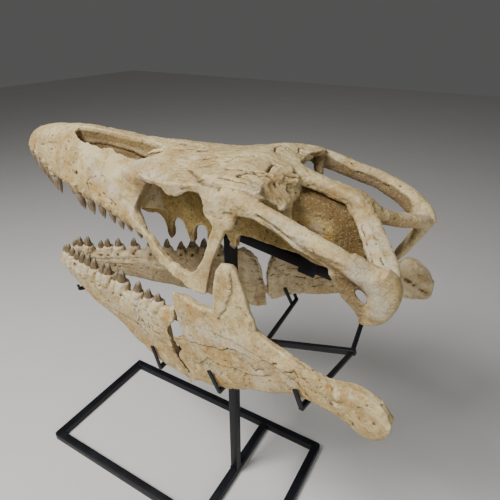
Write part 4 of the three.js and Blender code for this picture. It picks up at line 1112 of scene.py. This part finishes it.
def sculpt_hind_jaw(word, s):
    def thick(x):
        return 25 + 14 * math.exp(-((x - 405) / 55) ** 2)

    tail = [436, 441, 446, 449, 451.5]
    xs = [hind_x(x, s) for x in np.concatenate([np.linspace(-64, 430, 100), tail])]
    top = [(hind_x(x, s), z) for x, z in HIND_TOP]
    low = [(hind_x(x, s), z) for x, z in HIND_LOW]
    if s > 0:
        top = top[:9] + [(340, 769), (357, 789), (377, 793), (396, 785), (416, 768), (434, 742)]
        low = [(-60, 560), (0, 571), (23, 580), (50, 597), (80, 614), (110, 626), (150, 635),
               (200, 650), (240, 668), (300, 690), (350, 688), (372, 682), (408, 687), (432, 698),
               (440, 720)]
    joint = JAW_JOINTS[word]["hind"]
    shapes = [carve(plate_shape(s, xs, top, low, thick), past(joint, -300))]
    shapes.append(limb([(x, s * (along(JAW_HALF, x) + 3), z, long, wide)
                        for z, x, long, wide in CORONOID], across=(1, s * 0.17, 0)))
    clay = Clay(fuse(f"hind_jaw_bone_{word}", shapes, HIND_JAW_GRID))
    clay.relax(4)
    x, _, z = clay.p.T
    clay.melt(25, step(z, 768, 790) * step(-z, -846, -822) * step(x, 60, 80) * step(-x, -230, -200))
    x, _, z = clay.p.T
    inner = step(-s * clay.n[:, 1], 0.2, 0.7)
    outer = step(s * clay.n[:, 1], 0.2, 0.7)
    # The coronoid's front leaf stands proud of the rear one.
    edge_place = edge_x(LEAF_EDGE, z) + 2.5 * clay.drift[:, 0]
    leaf = step(edge_place - x, -1.2, 1.2) * step(z, 788, 796) * outer
    clay.push(4.5 * leaf)
    clay.groove(mirror([(x0 + 5, -210, z0) for x0, z0 in LEAF_EDGE[1:]], s), 4, 3.0, 0.7)
    clay.groove(mirror([(152, -212, 862), (168, -212, 838), (186, -210, 812)], s), 5, -2.0)
    clay.crack(mirror([(138, -212, 868), (150, -212, 846), (164, -210, 832), (180, -210, 812)], s),
               2.0, 3.0)
    clay.crack(mirror([(104, -204, 890), (100, -206, 850), (92, -202, 810)], s), 1.8, 2.0)
    clay.weather(1.1, plate=34, seed=100)
    clay.push(1.0 * rough(clay.p, (70, 30, 22), 3, 101))
    # Broken layers of bone end in low steps across the outer face.
    for line, x0, x1, rise in (
            (((-60, 658), (-30, 672), (-15, 682), (17, 690), (68, 706), (106, 722), (142, 739),
              (190, 742)), -60, 150, 3.0),
            (((-40, 612), (3, 618), (40, 640), (61, 670), (109, 673), (149, 689), (183, 693),
              (236, 728)), -10, 210, 2.2),
            (((40, 740), (90, 752), (150, 762), (220, 752), (300, 740)), 60, 260, 1.8)):
        over = clay.p[:, 2] + 3 * clay.drift[:, 1] - np.interp(clay.p[:, 0], *zip(*line))
        here = step(clay.p[:, 0], x0, x0 + 30) * step(-clay.p[:, 0], -x1 - 30, -x1) * outer
        clay.push(rise * here * (step(over, -1.5, 1.5) - 0.6 * step(over, 4, 40)))
        clay.dab("umber_and_shade", 0.4 * here * np.exp(-((over + 2) / 2.5) ** 2))
    # Scooped hinge end with a knob in front of it.
    clay.push(-3.5 * outer * near_spots(clay.p, mirror([(408, -252, 738, 34, 1)], s)))
    knob = mirror([(361, -240, 760, 10, 1), (362, -243, 740, 8, 0.6)], s)
    clay.push(8.0 * outer * near_spots(clay.p, knob))
    clay.groove(mirror([(345, -238, 770), (352, -238, 745), (350, -240, 726)], s), 6, 3.0, 0.4)
    clay.groove(mirror([(400, -248, 752), (424, -252, 740)], s), 7, 2.5, 0.25)
    at_joint = step(edge_x(joint, clay.p[:, 2]) - clay.p[:, 0], -20, -2)
    feather(clay, s, at_joint, 12)
    clay.push(1.2 * at_joint * rough(clay.p, (20, 20, 10), 3, 104))
    if s < 0:
        clay.cracks(HIND_JAW_CRACKS)
        clay.pits([(-46, -186, 640, 6.0), (-36, -188, 630, 5.0), (180, -222, 664, 3.0)], 6)
        clay.pits([(112, -206, 690, 2.4), (140, -212, 668, 2.2), (300, -236, 760, 2.4),
                   (60, -196, 720, 2.4)])
    else:
        for k in range(5):
            z0 = 640 + 26 * k
            clay.crack([(14, 156, z0), (60, 168, z0 + 22), (120, 178, z0 + 18), (190, 190, z0 + 40),
                        (260, 202, z0 + 36)], 2.0, 2.6, 6)
        clay.groove([(20, 158, 720), (90, 172, 700), (180, 188, 720), (280, 206, 735)], 9, -4.0)
        clay.groove([(352, 208, 752), (390, 212, 734), (432, 216, 716)], 7, 3.5, 0.3)
        clay.groove([(356, 208, 738), (394, 212, 722), (430, 216, 704)], 6, -3.0)
        clay.groove([(356, 208, 776), (386, 212, 762), (416, 214, 742)], 9, -3.0)
    mottle = 0.5 + 0.5 * rough(clay.p, 24, 3, 103)
    fine = 0.5 + 0.5 * rough(clay.p, 9, 2, 106)
    clay.dab("plaster", near_spots(clay.p, mirror(HIND_PLASTER, s)) * outer * step(fine, 0.1, 0.45))
    clay.dab("ochre", near_spots(clay.p, mirror(HIND_OCHRE, s)) * outer * step(mottle, 0.15, 0.6))
    tip = mirror([(100, -206, 885), (96, -204, 850), (130, -208, 890)], s)
    clay.dab("ochre", 0.9 * near_path(clay.p, tip, 9) * step(mottle, 0.2, 0.6))
    clay.dab("ochre", inner * 0.35 * step(mottle, 0.4, 0.7) + 0.35 * outer * step(mottle, 0.35, 0.65))
    clay.dab("umber_and_shade", inner * 0.2 * step(-mottle, -0.4, -0.2))
    clay.dab("umber_and_shade", 0.5 * outer * step(fine, 0.66, 0.9) * step(clay.p[:, 2], 640, 700))
    return clay.finish()


# ------------------------------------------------------------------ teeth

# Height up the crown and width there, for a crown 1 high on a foot of radius 1.
CROWN_PROFILE = ((0.14, 1.0), (0.30, 0.98), (0.45, 0.93), (0.58, 0.85), (0.70, 0.73), (0.80, 0.58),
                 (0.88, 0.42), (0.94, 0.28), (0.98, 0.15), (1.0, 0.06))


def model_crown():
    """The one crown that every tooth is copied from, drawn up ring by ring from its foot."""
    bpy.ops.object.select_all(action="DESELECT")
    bpy.ops.mesh.primitive_circle_add(vertices=20, radius=1, fill_type="NGON")
    crown = bpy.context.object
    bpy.ops.object.mode_set(mode="EDIT")
    bpy.ops.mesh.select_all(action="SELECT")
    height, width = 0.0, 1.0
    for next_height, next_width in CROWN_PROFILE:
        rise = (0, 0, next_height - height)
        bpy.ops.mesh.extrude_region_move(TRANSFORM_OT_translate={"value": rise})
        bpy.ops.transform.resize(value=(next_width / width,) * 2 + (1,),
                                 center_override=(0, 0, next_height))
        height, width = next_height, next_width
    bpy.ops.mesh.select_all(action="SELECT")
    bpy.ops.mesh.normals_make_consistent(inside=False)
    bpy.ops.object.mode_set(mode="OBJECT")
    heights = [v.co.z for v in crown.data.vertices]
    crown.data.attributes.new("height", "FLOAT", "POINT").data.foreach_set("value", heights)
    smooth(crown)
    return crown


def set_teeth(name, crown, roots):
    """A row of crowns, each fitted to its own foot, tip, radius and backward bow."""
    rng = np.random.default_rng(len(name))
    made = []
    model = np.array([v.co for v in crown.data.vertices])
    turn = np.arctan2(model[:, 1], model[:, 0])
    for foot, tip, radius, bow in roots:
        foot = np.array(foot, float)
        tip = np.array(tip, float) + rng.uniform(-1, 1, 3) * (2.0, 1.0, 0)
        run = (tip - foot) / np.linalg.norm(tip - foot)
        wide = np.array((1, 0, 0)) - run[0] * run
        wide /= np.linalg.norm(wide)
        flute = 1 + 0.04 * np.sin(7 * turn + rng.uniform(0, 6)) + 0.10 * np.abs(np.cos(turn)) ** 6
        t = model[:, 2]
        points = foot + t[:, None] * (tip - foot) + np.outer(4 * bow * t * (1 - t), (1, 0, 0))
        points += np.outer(radius * model[:, 0] * flute, wide)
        points += np.outer(0.86 * radius * model[:, 1] * flute, np.cross(run, wide))
        tooth = crown.copy()
        tooth.data = crown.data.copy()
        bpy.context.collection.objects.link(tooth)
        tooth.data.vertices.foreach_set("co", (points * MM).ravel())
        made.append(tooth)
    return join_objects(name, made)


def join_objects(name, pieces):
    pick_up(pieces[0])
    for piece in pieces:
        piece.select_set(True)
    bpy.ops.object.join()
    pieces[0].name = pieces[0].data.name = name
    return pieces[0]


# ------------------------------------------------------------------ steel stand

TUBE, ROD, ARM, STRIP = 25, 12, 10, 4
TUBE_WALL = TUBE_ROUND = 2.5
CORNER_ROUND = 11
BASE_FRONT, BASE_REAR, BASE_SIDE = -619, 209, 215.5
BAR_SLOPE, RAIL_SLOPE = -0.156, 0.293
SLEEVE = (184, 222)


def bar_height(x):
    return 876 + BAR_SLOPE * x


def rail_height(x):
    return 556.5 + RAIL_SLOPE * x


def steel_bar(name, start, end, wide, high, round_off, hollow_end=False):
    """Square bar or tube between two points, with its edges rounded."""
    start, end = Vector(start) * MM, Vector(end) * MM
    run = (end - start).normalized()
    side = Vector((0, 0, 1)).cross(run)
    side = Vector((0, 1, 0)) if side.length < 0.01 else side.normalized()
    turn = Matrix((run, side, run.cross(side))).transposed().to_4x4()
    bpy.ops.object.select_all(action="DESELECT")
    bpy.ops.mesh.primitive_cube_add(size=1)
    bar = bpy.context.object
    bar.name = bar.data.name = name
    size = Matrix.Diagonal(((end - start).length, wide * MM, high * MM, 1))
    bar.matrix_world = Matrix.Translation((start + end) / 2) @ turn @ size
    bpy.ops.object.transform_apply(location=True, rotation=True, scale=True)
    bpy.ops.object.mode_set(mode="EDIT")
    bpy.ops.mesh.select_all(action="SELECT")
    bpy.ops.mesh.bevel(offset=round_off * MM, segments=3, affect="EDGES")
    if hollow_end:
        bpy.ops.mesh.select_all(action="DESELECT")
        bpy.ops.object.mode_set(mode="OBJECT")
        for face in bar.data.polygons:
            face.select = face.normal.dot(run) > 0.99 and face.area > 0.0001
        bpy.ops.object.mode_set(mode="EDIT")
        bpy.ops.mesh.inset(thickness=TUBE_WALL * MM)
        inwards = run * (-30 * MM)
        bpy.ops.mesh.extrude_region_move(TRANSFORM_OT_translate={"value": tuple(inwards)})
    bpy.ops.object.mode_set(mode="OBJECT")
    return bar


def base_frame():
    """Flat frame of four mitred tubes: a plate with its middle taken out, then given its height."""
    bpy.ops.object.select_all(action="DESELECT")
    bpy.ops.mesh.primitive_plane_add(size=1, location=((BASE_FRONT + BASE_REAR) / 2 * MM, 0, 0))
    base = bpy.context.object
    base.name = base.data.name = "base_tubes"
    base.scale = ((BASE_REAR - BASE_FRONT) * MM, 2 * BASE_SIDE * MM, 1)
    bpy.ops.object.transform_apply(location=True, rotation=True, scale=True)
    bpy.ops.object.mode_set(mode="EDIT")
    bpy.ops.mesh.select_all(action="SELECT")
    bpy.ops.mesh.inset(thickness=TUBE * MM)
    bpy.ops.mesh.delete(type="FACE")
    bpy.ops.object.mode_set(mode="OBJECT")
    apply_modifier(base, "SOLIDIFY", thickness=TUBE * MM, offset=1)
    bpy.ops.object.mode_set(mode="EDIT")
    bpy.ops.mesh.select_mode(type="EDGE")
    bpy.ops.mesh.select_all(action="DESELECT")
    bpy.ops.object.mode_set(mode="OBJECT")
    # Two opposite corners are ground round.
    ends = [x * MM for x in (BASE_FRONT, BASE_REAR)]
    for edge in base.data.edges:
        a, b = (base.data.vertices[k].co for k in edge.vertices)
        upright = abs(a.z - b.z) > 0.5 * TUBE * MM
        outside = abs(abs(a.y) - BASE_SIDE * MM) < 1e-5 and min(abs(a.x - x) for x in ends) < 1e-5
        edge.select = upright and outside and a.x * a.y > 0
    bpy.ops.object.mode_set(mode="EDIT")
    bpy.ops.mesh.bevel(offset=CORNER_ROUND * MM, segments=5, affect="EDGES")
    bpy.ops.mesh.select_mode(type="VERT")
    bpy.ops.object.mode_set(mode="OBJECT")
    apply_modifier(base, "BEVEL", width=TUBE_ROUND * MM, segments=3, limit_method="ANGLE",
                   angle_limit=math.radians(40))
    return base


def weld(start, end, radius):
    """Rippled bead of weld metal along a straight joint: rows of overlapping drops."""
    start, end = Vector(start) * MM, Vector(end) * MM
    pitch = 0.8 * radius * MM
    bpy.ops.object.select_all(action="DESELECT")
    bpy.ops.mesh.primitive_uv_sphere_add(segments=8, ring_count=6, radius=radius * MM)
    bead = bpy.context.object
    run = (end - start).normalized()
    for v in bead.data.vertices:
        v.co -= 0.35 * run * v.co.dot(run)
    apply_modifier(bead, "ARRAY", count=max(2, int((end - start).length / pitch)),
                   use_relative_offset=False, use_constant_offset=True,
                   constant_offset_displace=run * pitch)
    bead.location = start
    bpy.ops.object.transform_apply(location=True, rotation=True, scale=True)
    return bead


# Each cradle as (x, z) on its rail, at its feet and at its tips, and half its width.
CRADLES = {
    "chin": ((-520, 554), (-522, 576), (-526, 588), 10),
    "front": ((-104, 552), (-104, 545), (-122, 606), 17),
    "middle": ((100, 585.8), (92, 592), (67, 641), 14),
    "rear": ((318, 649.7), (296, 688), (281, 726), 14),
}


def build_stand():
    t = TUBE / 2
    made, beads = [], []

    def piece(obj, *nodes):
        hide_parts(*nodes)
        made.append(obj)

    def bead(*joint):
        beads.append(weld(*joint))

    piece(base_frame(), "stand_base_front", "stand_base_rear", "stand_base_left", "stand_base_right")
    inside = BASE_SIDE - TUBE + 1
    piece(steel_bar("base_tube_cross", (0, -inside, t), (0, inside, t), TUBE, TUBE - 0.2, TUBE_ROUND),
          "stand_base_cross")
    piece(steel_bar("post_tube", (0, 0, TUBE - 1), (0, 0, bar_height(0)), TUBE, TUBE, TUBE_ROUND),
          "stand_post")
    piece(steel_bar("top_bar_tube", (-t, 0, bar_height(-t)), (258, 0, bar_height(258)), TUBE, TUBE,
                    TUBE_ROUND, True), "stand_skull_bar")
    sleeve = steel_bar("sleeve", *((x, 0, bar_height(x) + 1) for x in SLEEVE), 36, 41, 1.6)
    pad = steel_bar("pad", (203, 0, 860), (203, 0, 886), 24, 36, 1.6)
    piece(join_objects("skull_saddle", [sleeve, pad]), "stand_skull_saddle")
    piece(steel_bar("jaw_rail_bar", (t, 0, rail_height(t)), (326, 0, rail_height(326)), ROD, ROD + 2,
                    1.4), "stand_jaw_rail")
    piece(steel_bar("chin_rod_bar", (-t, 0, 548), (-535, 0, 554), ROD, ROD, 1.4), "stand_chin_rod")

    for word, s in SIDES:
        for name, (rail, foot, tip, half) in CRADLES.items():
            reach = float(along(JAW_HALF, foot[0]))
            start = Vector((rail[0], s * (ROD / 2 - 0.5), rail[1]))
            end = Vector((foot[0], s * (reach + half + 4), foot[1]))
            parts = [steel_bar("arm", start, end, ARM, ARM, 1.5)]
            for y in (reach - half - 2, reach + half + 2):
                root = start.lerp(end, (s * y - start.y) / (end.y - start.y))
                parts.append(steel_bar("strip", root, (tip[0], s * y, tip[1]), STRIP, ARM, 1.0))
            piece(join_objects(f"{name}_cradle_{word}", parts), f"stand_{name}_cradle_{word}")
            bead((rail[0] - 4, s * 6.5, rail[1] + 5), (rail[0] + 4, s * 6.5, rail[1] + 5), 1.4)
        inner, edge, top = s * (BASE_SIDE - TUBE), t + 0.4, TUBE + 0.3
        bead((2 - t, inner, TUBE - 0.8), (t - 2, inner, TUBE - 0.8), 1.6)
        bead((-t, s * edge, top), (t, s * edge, top), 2.0)
        bead((-edge, -t, top), (-edge, t, top), 2.0)
        for x, corner in ((BASE_FRONT, 1), (BASE_REAR, -1)):
            bead((x + corner * 4, s * (BASE_SIDE - 4), TUBE - 0.6),
                 (x + corner * TUBE, inner, TUBE - 0.6), 1.5)
        bead((edge, s * 5, rail_height(t) - 7), (edge, s * 5, rail_height(t) + 7), 1.5)
    for x in SLEEVE:
        bead((x, -t, bar_height(x) + 17), (x, t, bar_height(x) + 17), 1.5)
    made.append(join_objects("weld_beads", beads))
    return made


# ------------------------------------------------------------------ materials


def colour(code):
    """Linear colour of an sRGB hex code."""
    parts = [int(code[k:k + 2], 16) / 255 for k in (1, 3, 5)]
    return [c / 12.92 if c <= 0.04045 else ((c + 0.055) / 1.055) ** 2.4 for c in parts] + [1]


def add(tree, kind, inputs=None, **settings):
    """Adds a node: settings are its own properties, inputs are numbers, colours or sockets."""
    made = tree.nodes.new(kind)
    for key, value in settings.items():
        setattr(made, key, value)
    for key, value in (inputs or {}).items():
        if isinstance(value, bpy.types.NodeSocket):
            tree.links.new(value, made.inputs[key])
        else:
            made.inputs[key].default_value = value
    return made


def finish_material(name, ground, layers, grains, bumps, roughness, specular, stretch=(1, 1, 1)):
    """Surface painted in layers over a ground colour.

    Grains are noises by their size in mm. A layer is (source, from, to, strength, colour):
    its source is a grain's size, "cracks" or an attribute painted on the piece. Bumps are
    (source, height in mm). The roughness runs from its first to its second value with the
    first grain.
    """
    material = bpy.data.materials.new(name)
    material.use_nodes = True
    tree = material.node_tree
    shader = tree.nodes["Principled BSDF"]
    place = add(tree, "ShaderNodeTexCoord").outputs["Object"]
    place = add(tree, "ShaderNodeMapping", {"Vector": place, "Scale": stretch}).outputs["Vector"]
    sources = {}
    for size in grains:
        links = {"Vector": place, "Scale": 1 / (size * MM), "Detail": 5.0, "Roughness": 0.62}
        sources[size] = add(tree, "ShaderNodeTexNoise", links).outputs["Fac"]
    if any(layer[0] == "cracks" for layer in layers):
        # Fine drying cracks, 28 mm apart, that wander and fade out in places.
        wander = add(tree, "ShaderNodeTexNoise",
                     {"Vector": place, "Scale": 1 / (22 * MM), "Detail": 3.0})
        moved = add(tree, "ShaderNodeVectorMath",
                    {0: wander.outputs["Color"], 1: (0.022,) * 3, 2: place}, operation="MULTIPLY_ADD")
        links = {"Vector": moved.outputs["Vector"], "Scale": 1 / (28 * MM)}
        edges = add(tree, "ShaderNodeTexVoronoi", links, feature="DISTANCE_TO_EDGE")
        thin = add(tree, "ShaderNodeMapRange", {"Value": edges.outputs["Distance"], "From Min": 0.0,
                                                "From Max": 0.045, "To Min": 1.0, "To Max": 0.0})
        fade = add(tree, "ShaderNodeMapRange", {"Value": sources[grains[0]], "From Min": 0.44,
                                                "From Max": 0.60})
        sources["cracks"] = add(tree, "ShaderNodeMath", {0: thin.outputs[0], 1: fade.outputs[0]},
                                operation="MULTIPLY").outputs[0]
    tone = colour(ground)
    for source, low, high, strength, code in layers:
        if source not in sources:
            sources[source] = add(tree, "ShaderNodeAttribute", attribute_name=source).outputs["Fac"]
        links = {"Value": sources[source], "From Min": low, "From Max": high, "To Max": strength}
        mask = add(tree, "ShaderNodeMapRange", links, interpolation_type="SMOOTHSTEP")
        mixed = add(tree, "ShaderNodeMix",
                    {0: mask.outputs["Result"], 6: tone, 7: colour(code)}, data_type="RGBA")
        tone = mixed.outputs[2]
    tree.links.new(tone, shader.inputs["Base Color"])
    links = {"Value": sources[grains[0]], "From Min": 0.3, "From Max": 0.7, "To Min": roughness[0],
             "To Max": roughness[1]}
    gloss = add(tree, "ShaderNodeMapRange", links)
    tree.links.new(gloss.outputs["Result"], shader.inputs["Roughness"])
    shader.inputs["Specular IOR Level"].default_value = specular
    relief = 0.0
    for source, height in bumps:
        relief = add(tree, "ShaderNodeMath", {0: sources[source], 1: float(height), 2: relief},
                     operation="MULTIPLY_ADD").outputs[0]
    bump = add(tree, "ShaderNodeBump", {"Strength": 1.0, "Distance": MM, "Height": relief})
    tree.links.new(bump.outputs["Normal"], shader.inputs["Normal"])
    return material


# Petrified bone, broken and set again: dry, chalky and matt. Cream where clean, grey
# where plaster fills a gap, ochre where iron has stained it, brown in cracks and pits, and darker
# with painted shade in creases, recesses and shaded faces.
STAINS_AND_SHADE = (("matrix", 0, 1, 1.0, "#97804A"), ("ochre", 0, 1, 0.8, "#AC8444"),
          ("plaster", 0, 1, 0.8, "#C4BAA2"), ("edge", 0, 1, 0.4, "#DACBA4"),
          ("umber_and_shade", 0, 1, 0.82, "#5A4325"), ("recess_shade", 0, 1, 0.6, "#644A2B"),
          ("crease_shade", 0, 1, 0.8, "#46331C"), ("cracks", 0, 1, 0.25, "#5A4528"),
          (3.5, 0.56, 0.70, 0.5, "#665030"), (3.5, 0.45, 0.34, 0.3, "#D9CBA4"))
CREAM_LAYERS = ((110, 0.42, 0.60, 0.85, "#B2986A"), (34, 0.50, 0.66, 0.75, "#A38656"),
                (34, 0.46, 0.32, 0.7, "#CBBB94"), ("plate", 0.45, 0.95, 0.45, "#9A7F50"),
                (9, 0.52, 0.70, 0.55, "#876C41"), (9, 0.46, 0.32, 0.35, "#CFC097")) + STAINS_AND_SHADE
FAR_LAYERS_PAINTED_LIGHTER = ((110, 0.42, 0.60, 0.85, "#BDA67D"), (34, 0.50, 0.66, 0.7, "#AA9066"),
                (34, 0.46, 0.32, 0.6, "#D8C9A9"), ("plate", 0.45, 0.95, 0.35, "#A88E63"),
                (9, 0.52, 0.70, 0.5, "#957B54")) + STAINS_AND_SHADE
COATED_LAYERS = ((110, 0.42, 0.60, 0.85, "#A88C52"), (34, 0.50, 0.66, 0.7, "#957A45"),
                 (34, 0.46, 0.32, 0.7, "#BBA66C"), (9, 0.50, 0.66, 0.6, "#7C6236"),
                 (9, 0.46, 0.34, 0.4, "#C0AB72"), ("matrix", 0, 1, 0.6, "#A18C5C")) + STAINS_AND_SHADE[1:]
BONE_GRAINS = (110, 34, 9, 3.5)
BONE_BUMPS = ((34, 2.0), (9, 2.0), (3.5, 1.5), ("cracks", -0.4))

# The right half of the lower jaw stands in shade, so its copy of the bone colours is painted paler
# and greyer to make up for it.
cream_bone = finish_material("cream_fossil_bone", "#CAB788", CREAM_LAYERS, BONE_GRAINS, BONE_BUMPS,
                             (0.72, 0.9), 0.3)
far_bone_painted_lighter = finish_material("far_jaw_bone_painted_lighter", "#D6C6A2", FAR_LAYERS_PAINTED_LIGHTER, BONE_GRAINS, BONE_BUMPS,
                             (0.7, 0.9), 0.3)
# Bone that still has a skin of sandy rock on it, 1 to 3 mm grit, olive where damp stained it.
coated_bone = finish_material("rock_coated_bone", "#AC9359", COATED_LAYERS, BONE_GRAINS,
                              ((34, 2.0), (9, 3.0), (3.5, 2.6), ("cracks", -0.9)), (0.8, 0.95), 0.2)
# Fossil enamel, polished by wear: streaked along the crown, pale at its foot and tip.
enamel = finish_material("fossil_enamel", "#A2937A",
                         (("height", 0.34, 0.58, 1.0, "#7B684C"), (30, 0.45, 0.62, 0.6, "#5C4A33"),
                          ("height", 0.78, 0.98, 0.65, "#ABA291"), (4, 0.50, 0.66, 0.65, "#3E3122"),
                          (4, 0.46, 0.34, 0.45, "#B5A88F")),
                         (30, 4), ((4, 0.5),), (0.4, 0.6), 0.45, stretch=(1, 1, 0.2))
# Mild steel in satin black paint, blue in the light, with a faint dusting.
black_paint = finish_material("satin_black_paint", "#0B0C11",
                              ((70, 0.40, 0.65, 0.8, "#13151E"), (3, 0.60, 0.78, 0.4, "#262B38")),
                              (70, 3), ((3, 0.12),), (0.42, 0.55), 0.35)


def dress(obj, material):
    obj.data.materials.clear()
    obj.data.materials.append(material)
    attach(obj, "root")


# ------------------------------------------------------------------ build

X, Y, Z = 0, 1, 2
skull = sculpt_skull()
hinge = [(X, CHEEK_BACK, 1), (Z, ARCADE_LOW, -1)]
for name, cuts, nodes in (
        ("snout", [(X, FRONTAL_FRONT, -1)], ("premaxilla", "maxilla_left", "maxilla_right")),
        ("brow_and_cheeks", [(X, FRONTAL_FRONT, 1), (X, CHEEK_BACK, -1)],
         ("frontal", "prefrontal_left", "prefrontal_right", "jugal_left", "jugal_right")),
        ("crest_and_arcades", [(X, CHEEK_BACK, 1), (Z, ARCADE_LOW, 1)],
         ("parietal", "temporal_arcade_left", "temporal_arcade_right")),
        ("quadrate_bone_left", hinge + [(Y, 0, -1)], ("quadrate_left",)),
        ("quadrate_bone_right", hinge + [(Y, 0, 1)], ("quadrate_right",))):
    part = part_of(skull, name, cuts)
    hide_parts(*nodes)
    dress(part, cream_bone)
bpy.data.meshes.remove(skull.data)

braincase = sculpt_braincase()
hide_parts("braincase_and_palate")
dress(braincase, coated_bone)

for word, s in SIDES:
    for make, nodes in ((sculpt_dentary, ("dentary",)), (sculpt_hind_jaw, ("hind_jaw", "coronoid"))):
        bone = make(word, s)
        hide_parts(*(f"{node}_{word}" for node in nodes))
        dress(bone, far_bone_painted_lighter if s > 0 else cream_bone)

crown = model_crown()
rows = {"upper_teeth": [], "lower_teeth": [], "palate_teeth": []}
for word, s in SIDES:
    rows["upper_teeth"] += [(*upper_tooth(x, size, s), -0.07 * size) for x, size in UPPER_TEETH]
    rows["lower_teeth"] += [(*lower_tooth(x, size, s), -0.07 * size) for x, size in LOWER_TEETH[word]]
# Only the left palate keeps its teeth.
rows["palate_teeth"] = [((x - 1, -37, 870), (x + 0.1 * size, -41, 890 - size), 8, -0.05 * size)
                        for x, size in PALATE_TEETH]
for name, roots in rows.items():
    dress(set_teeth(name, crown, roots), enamel)
bpy.data.meshes.remove(crown.data)

for piece in build_stand():
    smooth(piece)
    bpy.ops.object.shade_smooth_by_angle(angle=math.radians(35))
    dress(piece, black_paint)

# ------------------------------------------------------------------ floor, light and camera

bpy.ops.object.select_all(action="DESELECT")
bpy.ops.mesh.primitive_plane_add(size=18)
floor = bpy.context.object
floor.name = "floor"
floor.data.materials.append(finish_material("pale_floor_paint", "#DEDCD8",
                                            ((400, 0.4, 0.6, 0.3, "#D8D6D1"),), (400,), (),
                                            (0.85, 0.95), 0.2))

world = bpy.data.worlds.new("studio")
bpy.context.scene.world = world
world.use_nodes = True
world.node_tree.nodes["Background"].inputs["Color"].default_value = colour("#F0F0EF")
world.node_tree.nodes["Background"].inputs["Strength"].default_value = 0.105


def area_light(name, place, target, size, power):
    data = bpy.data.lights.new(name, "AREA")
    data.size = size
    data.energy = power
    light = bpy.data.objects.new(name, data)
    bpy.context.collection.objects.link(light)
    light.location = place
    aim = Vector(target) - Vector(place)
    light.rotation_euler = aim.to_track_quat("-Z", "Y").to_euler()


area_light("key", (-0.9, -1.6, 3.0), (-0.1, 0, 0.85), 1.1, 126)
area_light("fill", (2.4, -2.0, 1.8), (0, 0, 0.8), 2.0, 34)

camera_data = bpy.data.cameras.new("camera")
camera_data.sensor_width = 36
camera_data.lens = 31.0
camera = bpy.data.objects.new("camera", camera_data)
bpy.context.collection.objects.link(camera)
camera.location = (0.4924, -0.7590, 1.3107)
camera.rotation_euler = (math.radians(61.68), 0, math.radians(30.08))
bpy.context.scene.camera = camera
